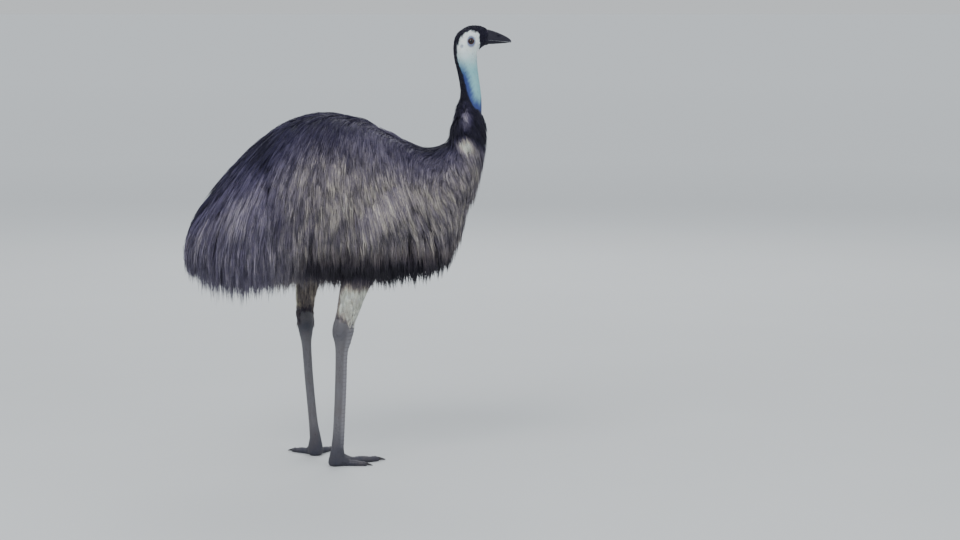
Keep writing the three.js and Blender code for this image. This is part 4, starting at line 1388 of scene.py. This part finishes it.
class EMU_OT_legs(bpy.types.Operator):
    """Models each shank, foot and toes as one scaled leg"""

    bl_idname = "emu.legs"
    bl_label = "Legs"

    def execute(self, context):
        finish = scute_finish()
        for side, sign in SIDES.items():
            leg = self.shank(side)
            for name in TOES:
                combine(leg, self.toe(side, sign, name))
            combine(leg, self.palm(side))
            centre = foot_centre(side)
            select_where(leg, lambda p: np.linalg.norm(p - centre, axis=1) < 0.058)
            bpy.ops.mesh.vertices_smooth(factor=0.5, repeat=8)
            bpy.ops.mesh.select_all(action="SELECT")
            bpy.ops.mesh.bisect(
                plane_co=(0, 0, 0.0004), plane_no=(0, 0, 1), use_fill=True, clear_inner=True
            )
            bpy.ops.object.mode_set(mode="OBJECT")
            self.mark(leg, side, sign)
            shade(leg, 40)
            dressed(leg, finish)
            nodes = [f"shank_{side}", f"foot_{side}", *(f"toe_{side}_{name}" for name in TOES)]
            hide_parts(*nodes)
        return {"FINISHED"}

    def shank(self, side):
        """A shank with scutes down its front, and the ankle below it"""
        steps, _, share = shank_line(side)
        knots = np.interp(np.linspace(0, 1, SCUTES["shank"] + 1), share, steps)
        places = []
        for start, end in zip(knots, knots[1:]):
            places += [start, mix(start, end, 0.78), mix(start, end, 0.94)]
        rings = leg_rings(side, "shank", [*places, knots[-1]])
        fore, _ = leg_ways(side)
        axes = (fore, (fore[1], -fore[0], 0), (0, 0, -1))
        x, y, _ = LEGS[side]["shank"][-1][0]
        for ahead, z, depth, width in ANKLE:
            middle = (np.array((x, y, z)) + fore * ahead) * MM + SHIFT
            rings.append((middle, axes, (depth * MM, width * MM)))
        leg = tube(f"leg_{side}", rings, 28)
        last = len(places)
        self.raise_rings(
            leg, rings, lambda n: (n % 3 == 2) & (n < last), lambda out: out @ fore > 0.1
        )
        return leg

    def palm(self, side):
        """The thick pad from which the toes spread"""
        fore, _ = leg_ways(side)
        x, y, _ = LEGS[side]["shank"][-1][0]
        middle = np.array((x, y, 15)) + fore * 16
        return ball("palm", middle, (31, 30, 20), (0, 0, math.radians(LEGS[side]["turn"])))

    def toe(self, side, sign, name):
        """A toe with pads below and scutes along its top"""
        size = TOES[name]
        start, way = toe_line(side, sign, name)
        up = np.array((0, 0, 1.0))
        scutes = SCUTES[name]
        rings = []
        for n in range(scutes * 3):
            scute, part = divmod(n, 3)
            share = (scute + (0, 0.74, 0.92)[part]) / (scutes - 0.08)
            reach = share * size["length"] * MM
            knuckle = mix(0.92, 1.04, abs(math.sin(share * math.pi * 2.5)))
            end = math.sqrt(1 - max(0, share - 0.94) * 10)
            root = 1 + 0.4 * smooth(-share, -0.34, -0.1)
            high = size["height"] * mix(1.25, 0.7, share) * knuckle * end * root * 0.58 * MM
            wide = size["width"] * mix(1.2, 0.72, share) * knuckle * end * MM
            middle = start + way * reach + up * high * 0.8
            rings.append((middle, (up, np.cross(way, up), way), (high, wide)))
        toe = tube("toe", rings, 24)
        self.raise_rings(toe, rings, lambda n: n % 3 == 2, lambda out: out[:, 2] > 0.25)
        return toe

    def raise_rings(self, piece, rings, raised, facing):
        """Lifts the free edges of the scutes on the side that faces the given way"""
        sides = len(piece.data.vertices) // len(rings)
        middles = np.repeat([ring[0] for ring in rings], sides, axis=0)
        number = np.repeat(np.arange(len(rings)), sides)
        chosen = raised(number) & facing(normal(vertex_places(piece) - middles))
        select_where(piece, lambda p: chosen)
        bpy.ops.transform.shrink_fatten(value=0.0015)
        bpy.ops.object.mode_set(mode="OBJECT")
        apply(piece, "SUBSURF", levels=1, render_levels=1)

    def mark(self, leg, side, sign):
        """Which plate each point belongs to, how plated and how dark the horn is, with painted shade on
        the far leg
        """
        places = vertex_places(leg)
        fore, _ = leg_ways(side)
        _, line, share = shank_line(side)
        out = normal(places[:, :2] - line_at(line, places[:, 2]))
        level = np.interp(-places[:, 2], -line[:, 2], share) * SCUTES["shank"]
        plates = smooth(out @ fore[:2], -0.15, 0.25) * smooth(places[:, 2], 0.045, 0.075)
        for name, size in TOES.items():
            start, way = toe_line(side, sign, name)
            offset = places - start
            along = offset @ way
            across = np.abs(offset @ np.array((-way[1], way[0], 0)))
            on = (along > 0.034) & (across < size["width"] * 1.15 * MM) & (places[:, 2] < 0.05)
            level = np.where(on, along / (size["length"] * MM) * (SCUTES[name] - 0.08), level)
            top = smooth(places[:, 2], size["height"] * 0.42 * MM, size["height"] * 0.62 * MM)
            plates = np.where(on, top * smooth(along, 0.034, 0.046), plates)
        # Darker towards the floor: the toes' own dark horn, and partly painted shade beneath the foot
        dark = 1 - smooth(places[:, 2], 0.02, 0.15)
        # Painted shade from the body: the left, far leg a little darker all over
        dark = np.maximum(dark, 0.16 if sign > 0 else 0)
        # Dark hock scales; the left, far hock is twice as dark, half of that painted shade
        hock = np.exp(-(((places[:, 2] - HOCK) / 0.03) ** 2))
        write_attribute(leg, "level", level)
        write_attribute(leg, "plates", plates)
        write_attribute(leg, "dark", np.clip(dark + hock * (0.35 if sign < 0 else 0.7), 0, 1))


def shank_line(side):
    """Steps down the rows of a shank, their points, and their share of its length"""
    rows = leg_rows(side, "shank")[:, :3]
    steps = np.linspace(0, len(rows) - 1, 160)
    line = spline(rows, steps) + SHIFT
    length = np.append(0, np.cumsum(np.linalg.norm(np.diff(line, axis=0), axis=1)))
    return steps, line, length / length[-1]


def foot_centre(side):
    """The point on the floor from which the toes spread"""
    ankle = np.array(LEGS[side]["shank"][-1][0]) * MM
    return np.array((ankle[0], ankle[1], 0.014)) + SHIFT


def toe_line(side, sign, name):
    """Where a toe leaves the foot, and its direction"""
    outward = {"inner": -sign, "middle": 0, "outer": sign}[name]
    turn = math.radians(LEGS[side]["turn"] + outward * LEGS[side]["spread"].get(name, 0))
    way = np.array((math.cos(turn), math.sin(turn), 0))
    centre = foot_centre(side)
    centre[2] = 0
    return centre, way


class EMU_OT_claws(bpy.types.Operator):
    """Models the six blunt claws"""

    bl_idname = "emu.claws"
    bl_label = "Claws"

    def execute(self, context):
        finish = claw_finish()
        for side, sign in SIDES.items():
            for name, size in TOES.items():
                self.claw(side, sign, name, size, finish)
        return {"FINISHED"}

    def claw(self, side, sign, name, size, finish):
        """A claw that bends down to its blunt tip"""
        start, way = toe_line(side, sign, name)
        rings = []
        for share in np.linspace(0, 1, 8):
            reach = (size["length"] - 10 + share * (size["claw"] + 12)) * MM
            thick = mix(0.5, 0.1, share**1.3)
            high = size["height"] * thick * 0.62 * MM
            wide = size["width"] * thick * 0.9 * MM
            rise = mix(size["height"] * 0.46, 2.2, share**1.2) * MM
            middle = start + way * reach + np.array((0, 0, rise))
            down = normal(way + np.array((0, 0, -0.45 * share)))
            up = normal(np.cross(np.cross(down, (0, 0, 1)), down))
            rings.append((middle, (up, np.cross(down, up), down), (high, wide)))
        claw = tube(f"claw_horn_{side}_{name}", rings, 14)
        apply(claw, "SUBSURF", levels=1, render_levels=1)
        reach = (vertex_places(claw) - start) @ way
        write_attribute(claw, "edge", smooth(reach, reach.min() + 0.014, reach.max()))
        shade(claw)
        dressed(claw, finish)
        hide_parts(f"claw_{side}_{name}")


def body_coat(name, places, sides, options, finish):
    """Plumes over a stretch of the trunk, on one side or both"""
    plumage = bpy.context.scene.emu_plumage
    parts = []
    for sign in sides:
        draw = np.random.default_rng([plumage.seed, int(places[0] * 10), sign + 1])
        roots = scatter(body_point, places, (0, sign * math.pi), options["apart"], draw)
        if options.get("clothed"):
            bare = markings(body_point(*roots, SKIN_HEIGHT))["bare"]
            clothed = bare < draw.uniform(0.1, 0.9, len(bare))
            roots = [root[clothed] for root in roots]
        number = len(roots[0])
        length = options["length"](roots[0]) * draw.uniform(0.82, 1.12, number)
        reach = draw.uniform(*options.get("reach", (0.82, 1.04)), number)
        curl = draw.normal(0, 0.2, number)
        start = options.get("start", 0.3)
        start = (start(roots[0]) if callable(start) else start) * draw.uniform(0.6, 1.3, number)
        paths = plume_paths(body_point, lie, roots, length, SKIN_HEIGHT - 0.15, start, reach, curl)
        limit = None
        if options.get("hem", True):
            points = paths[0]
            lowest = fringe(points[..., 0]) + draw.uniform(-0.03, 0.03, (number, 1))
            below = points[..., 2] < lowest
            first = np.where(below.any(1), below.argmax(1), points.shape[1])
            limit = np.clip((first - 0.3) / (points.shape[1] - 1), 0.12, 1)
        count = options.get("strands", plumage.strands)
        width = options.get("width", plumage.strand_width)
        spread = options.get("spread", plumage.spread) * draw.uniform(0.7, 1.25, number)
        parts.append(strands(paths, roots, draw, count, width, spread, limit, rings=3))
    return coat_piece(name, parts, finish)


class EMU_OT_trunk_coat(bpy.types.Operator):
    """Grows the long plumes of the rump, flanks, shoulders and breast"""

    bl_idname = "emu.trunk_coat"
    bl_label = "Trunk plumage"

    def execute(self, context):
        plumage = context.scene.emu_plumage
        finish = plumage_finish()
        for name, places in TRUNK_COATS.items():
            for side, sign in SIDES.items():
                options = {
                    "apart": lambda place, turn: (
                        plumage.apart * mix(0.7, 1.0, smooth(np.abs(turn), 0.3, 0.9))
                    ),
                    "length": lambda place: mix(
                        plumage.body_length * mix(1.25, 1.0, smooth(place, 4, 7)),
                        0.09,
                        smooth(place, PLACE["shoulders"], PLACE["neck base"]),
                    ),
                    "reach": (0.9, 1.3) if name == "breast" else (0.82, 1.06),
                }
                body_coat(f"coat_{name}_{side}", places, [sign], options, finish)
        return {"FINISHED"}


class EMU_OT_tail_coat(bpy.types.Operator):
    """Grows the long drooping plumes of the tail"""

    bl_idname = "emu.tail_coat"
    bl_label = "Tail plumage"

    def execute(self, context):
        plumage = context.scene.emu_plumage
        finish = plumage_finish()
        for side, sign in SIDES.items():
            options = {
                "apart": lambda place, turn: (
                    plumage.apart * mix(0.56, 0.95, smooth(np.abs(turn), 0.5, 1.4))
                ),
                "start": lambda place: 0.3 * smooth(place, 1.5, 3.6),
                "length": lambda place: mix(plumage.tail_length, plumage.body_length, place / 5),
            }
            body_coat(f"coat_tail_{side}", TAIL_COAT, [sign], options, finish)
        return {"FINISHED"}


class EMU_OT_neck_coat(bpy.types.Operator):
    """Grows the shaggy black plumes of the neck"""

    bl_idname = "emu.neck_coat"
    bl_label = "Neck plumage"

    def execute(self, context):
        plumage = context.scene.emu_plumage
        options = {
            **NECK_COAT,
            "apart": plumage.apart * NECK_COAT["apart"],
            "hem": False,
            "clothed": True,
            "start": 0.2,
            "length": lambda place: mix(
                plumage.neck_length, 0.035, smooth(place, PLACE["neck base"] + 0.5, PLACE["bare neck"])
            ),
        }
        finish = plumage_finish()
        body_coat("coat_neck", NECK_COAT["places"], (-1, 1), options, finish)
        return {"FINISHED"}


class EMU_OT_thigh_coat(bpy.types.Operator):
    """Grows the short feathers of the thighs, down to the hocks"""

    bl_idname = "emu.thigh_coat"
    bl_label = "Thigh plumage"

    def execute(self, context):
        plumage = context.scene.emu_plumage
        for side, sign in SIDES.items():
            draw = np.random.default_rng([plumage.seed, 50 + sign])
            surface = thigh_surface(side)
            coat = THIGH_PLUMES
            roots = scatter(surface, coat["rows"], (0, -2 * math.pi), coat["apart"], draw)
            last = mix(*coat["last"][side], smooth(-np.cos(roots[1]), -0.7, 0.9))
            kept = roots[0] < last - 0.2 * np.abs(draw.normal(0, 1, len(roots[0])))
            roots = [root[kept] for root in roots]
            number = len(roots[0])
            low = smooth(roots[0], 1.2, 3.6)
            length = mix(*coat["length"], low) * draw.uniform(0.75, 1.25, number)
            reach = mix(0.8, 0.5, low) * draw.uniform(0.7, 1.4, number)
            curl = draw.normal(0, 0.25, number)
            paths = plume_paths(surface, hang, roots, length, 0.0, 0.25, reach, curl, hanging=False)
            width, spread = mix(*coat["width"], low), mix(*coat["spread"], low)
            made = strands(paths, roots, draw, 5, width, spread, wave=0.001, rings=3)
            coat_piece(f"coat_thigh_{side}", [made], plumage_finish())
        return {"FINISHED"}


class EMU_OT_wing_coat(bpy.types.Operator):
    """Grows the small tuft of drooping plumes on each stub wing"""

    bl_idname = "emu.wing_coat"
    bl_label = "Wing plumage"

    def execute(self, context):
        plumage = context.scene.emu_plumage
        count = WING["plumes"]
        for side, sign in SIDES.items():
            draw = np.random.default_rng([plumage.seed, 70 + sign])
            share = draw.random(count)
            place = mix(*WING["places"], share) + draw.normal(0, 0.06, count)
            turn = sign * (mix(*WING["turns"], share) + draw.normal(0, 0.05, count))
            length = draw.uniform(*WING["length"], count)
            reach = draw.uniform(1.0, 1.12, count)
            curl = draw.normal(0, 0.12, count)
            paths = plume_paths(body_point, lie, (place, turn), length, 0.3, 0.85, reach, curl)
            made = strands(paths, (place, turn), draw, 7, 0.0034, 0.02)
            wing = coat_piece(f"coat_wing_{side}", [made], plumage_finish())
            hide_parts(f"wing_{side}")
        return {"FINISHED"}


class EMU_OT_bristles(bpy.types.Operator):
    """Grows the short bristles of the crown, nape, face and throat"""

    bl_idname = "emu.bristles"
    bl_label = "Bristles"

    def execute(self, context):
        plumage = context.scene.emu_plumage
        draw = np.random.default_rng([plumage.seed, 90])
        parts = []
        for sign in SIDES.values():
            size = BRISTLES
            turns = (0, sign * math.pi)
            place, turn = scatter(body_point, size["places"], turns, size["apart"], draw, 150)
            base = body_point(place, turn, SKIN_HEIGHT)
            bare = markings(base)["bare"]
            from_eye = np.hypot(base[:, 0] - EYE["x"] * MM, base[:, 2] - EYE["z"] * MM)
            thick = mix(0.9, 0.03, smooth(bare, 0.2, 0.95))
            kept = (draw.random(len(place)) < thick) & (from_eye >= size["clear"])
            place, turn, bare = place[kept], turn[kept], bare[kept] > 0.6
            number = len(place)
            nape, crown = size["length"]["nape"], size["length"]["crown"]
            feathered = mix(nape, crown, smooth(place, 21, 24.5))
            length = np.where(bare, size["length"]["bare"], feathered) * draw.uniform(0.6, 1.4, number)
            reach = np.where(bare, 1.4, 1.7) * draw.uniform(0.7, 1.5, number)
            curl = draw.normal(0, 0.5, number)
            root = SKIN_HEIGHT - 0.4
            paths = plume_paths(
                body_point, lie, (place, turn), length, root, 0.3, reach, curl, steps=4, hanging=False
            )
            width = np.where(bare, *size["width"])
            spread = np.where(bare, *size["spread"])
            parts.append(strands(paths, (place, turn), draw, 2, width, spread, wave=0.0008, rings=3))
            parts.append(self.lashes(sign, draw))
        bristles = coat_piece("coat_bristles", parts, plumage_finish())
        layer = bristles.data.attributes["pale"]
        layer.data.foreach_set("value", np.full(len(bristles.data.vertices), 0.02, np.float32))
        return {"FINISHED"}

    def lashes(self, sign, draw):
        """Dark lashes that stand from the rim of the lids, longest above the eye"""
        count = LASHES["count"]
        turn = np.linspace(-0.5, 3.6, count) + draw.normal(0, 0.04, count)
        rim = np.stack([np.cos(turn), 0 * turn, np.sin(turn)], -1)
        centre = np.array((EYE["x"], sign * (EYE["y"] + 6.2), EYE["z"]))
        start = (centre + rim * np.array((10.6, 0, 9.4))) * MM
        aim = normal(rim * 0.9 + np.array((-0.3, sign * 0.9, 0)))
        length = LASHES["length"] * np.clip(np.sin(turn), 0.35, 1) * draw.uniform(0.7, 1.2, count)
        knots = np.linspace(0, 1, 5)[None, :, None]
        sag = np.array((0, 0, -LASHES["sag"])) * knots**2
        points = start[:, None] + aim[:, None] * length[:, None, None] * knots + sag
        outs = np.broadcast_to(normal(rim + np.array((0.0, sign * 0.2, 0)))[:, None], points.shape)
        aheads = np.broadcast_to(aim[:, None], points.shape)
        roots = (24.0 + 0 * turn, sign * (1.2 + 0.1 * turn))
        paths = (points, outs, aheads)
        return strands(paths, roots, draw, 1, LASHES["width"], 0.001, wave=0.0002, rings=3)


class EMU_OT_stage(bpy.types.Operator):
    """Sets the pale floor, the soft studio lights and the camera"""

    bl_idname = "emu.stage"
    bl_label = "Stage"

    def execute(self, context):
        studio = context.scene.emu_studio
        clear_selection()
        bpy.ops.mesh.primitive_plane_add(size=FLOOR["size"])
        floor = settle(named("floor"))
        finish = Finish("pale floor")
        cloud = finish.noise(0.9, 2)
        away = finish.node("ShaderNodeVectorMath", {"operation": "LENGTH"}, {0: finish.place()}, out=1)
        far = finish.grey(away * 0.02, [(0.0, 0.0), (0.06, 0.0), (0.3, 0.8), (0.8, 1.0)])
        colour = finish.blend(FLOOR["near"], FLOOR["cloud"], cloud)
        colour = finish.blend(colour, FLOOR["far"], far)
        floor.data.materials.append(finish.shader(base_color=colour, roughness=0.85))
        for name, (place, size, power) in LIGHTS.items():
            bpy.ops.object.light_add(type="AREA", location=place)
            light = bpy.context.object
            light.name = name
            light.data.size = size
            light.data.energy = power
            light.rotation_euler = (AIM - Vector(place)).to_track_quat("-Z", "Y").to_euler()
        context.scene.world = self.sky()
        place = (studio.across + SHIFT[0], SHIFT[1] - studio.away, studio.height)
        bpy.ops.object.camera_add(location=place, rotation=(math.pi / 2 - studio.pitch, 0, 0))
        camera = bpy.context.object
        camera.data.lens = studio.lens
        camera.data.sensor_width = 36
        context.scene.camera = camera
        return {"FINISHED"}

    def sky(self):
        """An even studio light from above that meets the floor's tone at the horizon"""
        world = bpy.data.worlds.new("studio")
        world.use_nodes = True
        nodes, links = world.node_tree.nodes, world.node_tree.links
        place = nodes.new("ShaderNodeTexCoord")
        parts = nodes.new("ShaderNodeSeparateXYZ")
        rise = nodes.new("ShaderNodeMapRange")
        rise.interpolation_type = "SMOOTHSTEP"
        rise.inputs[1].default_value = 0.0
        rise.inputs[2].default_value = 0.5
        blend = nodes.new("ShaderNodeMix")
        blend.data_type = "RGBA"
        blend.inputs[6].default_value = (*SKY["low"], 1)
        blend.inputs[7].default_value = (*SKY["high"], 1)
        background = nodes["Background"]
        background.inputs[1].default_value = SKY["strength"]
        links.new(place.outputs[0], parts.inputs[0])
        links.new(parts.outputs[2], rise.inputs[0])
        links.new(rise.outputs[0], blend.inputs[0])
        links.new(blend.outputs[2], background.inputs[0])
        return world


class EMU_PT_panel(bpy.types.Panel):
    """Lists the bird's sizes, colours and pieces"""

    bl_idname = "EMU_PT_panel"
    bl_label = "Standing emu"
    bl_space_type = "VIEW_3D"
    bl_region_type = "UI"
    bl_category = "Emu"

    def draw(self, context):
        """Shows the settings first and the pieces below them"""
        for group in (context.scene.emu_plumage, context.scene.emu_colours, context.scene.emu_studio):
            box = self.layout.box()
            for key in group.__annotations__:
                box.prop(group, key)
        for operator in OPERATORS:
            self.layout.operator(operator.bl_idname)


GROUPS = {"emu_plumage": EmuPlumage, "emu_colours": EmuColours, "emu_studio": EmuStudio}
OPERATORS = (
    EMU_OT_stage,
    EMU_OT_skin,
    EMU_OT_eyes,
    EMU_OT_bill,
    EMU_OT_legs,
    EMU_OT_claws,
    EMU_OT_trunk_coat,
    EMU_OT_tail_coat,
    EMU_OT_neck_coat,
    EMU_OT_thigh_coat,
    EMU_OT_wing_coat,
    EMU_OT_bristles,
)


def register():
    """Adds the settings, the operators and the panel"""
    for made in (*GROUPS.values(), *OPERATORS, EMU_PT_panel):
        bpy.utils.register_class(made)
    for name, group in GROUPS.items():
        setattr(bpy.types.Scene, name, PointerProperty(type=group))


def unregister():
    """Takes away all that register adds"""
    for name in GROUPS:
        delattr(bpy.types.Scene, name)
    for made in reversed((*GROUPS.values(), *OPERATORS, EMU_PT_panel)):
        bpy.utils.unregister_class(made)


def main():
    """Makes every piece in order"""
    register()
    for operator in OPERATORS:
        family, name = operator.bl_idname.split(".")
        getattr(getattr(bpy.ops, family), name)()


if __name__ == "__main__":
    main()
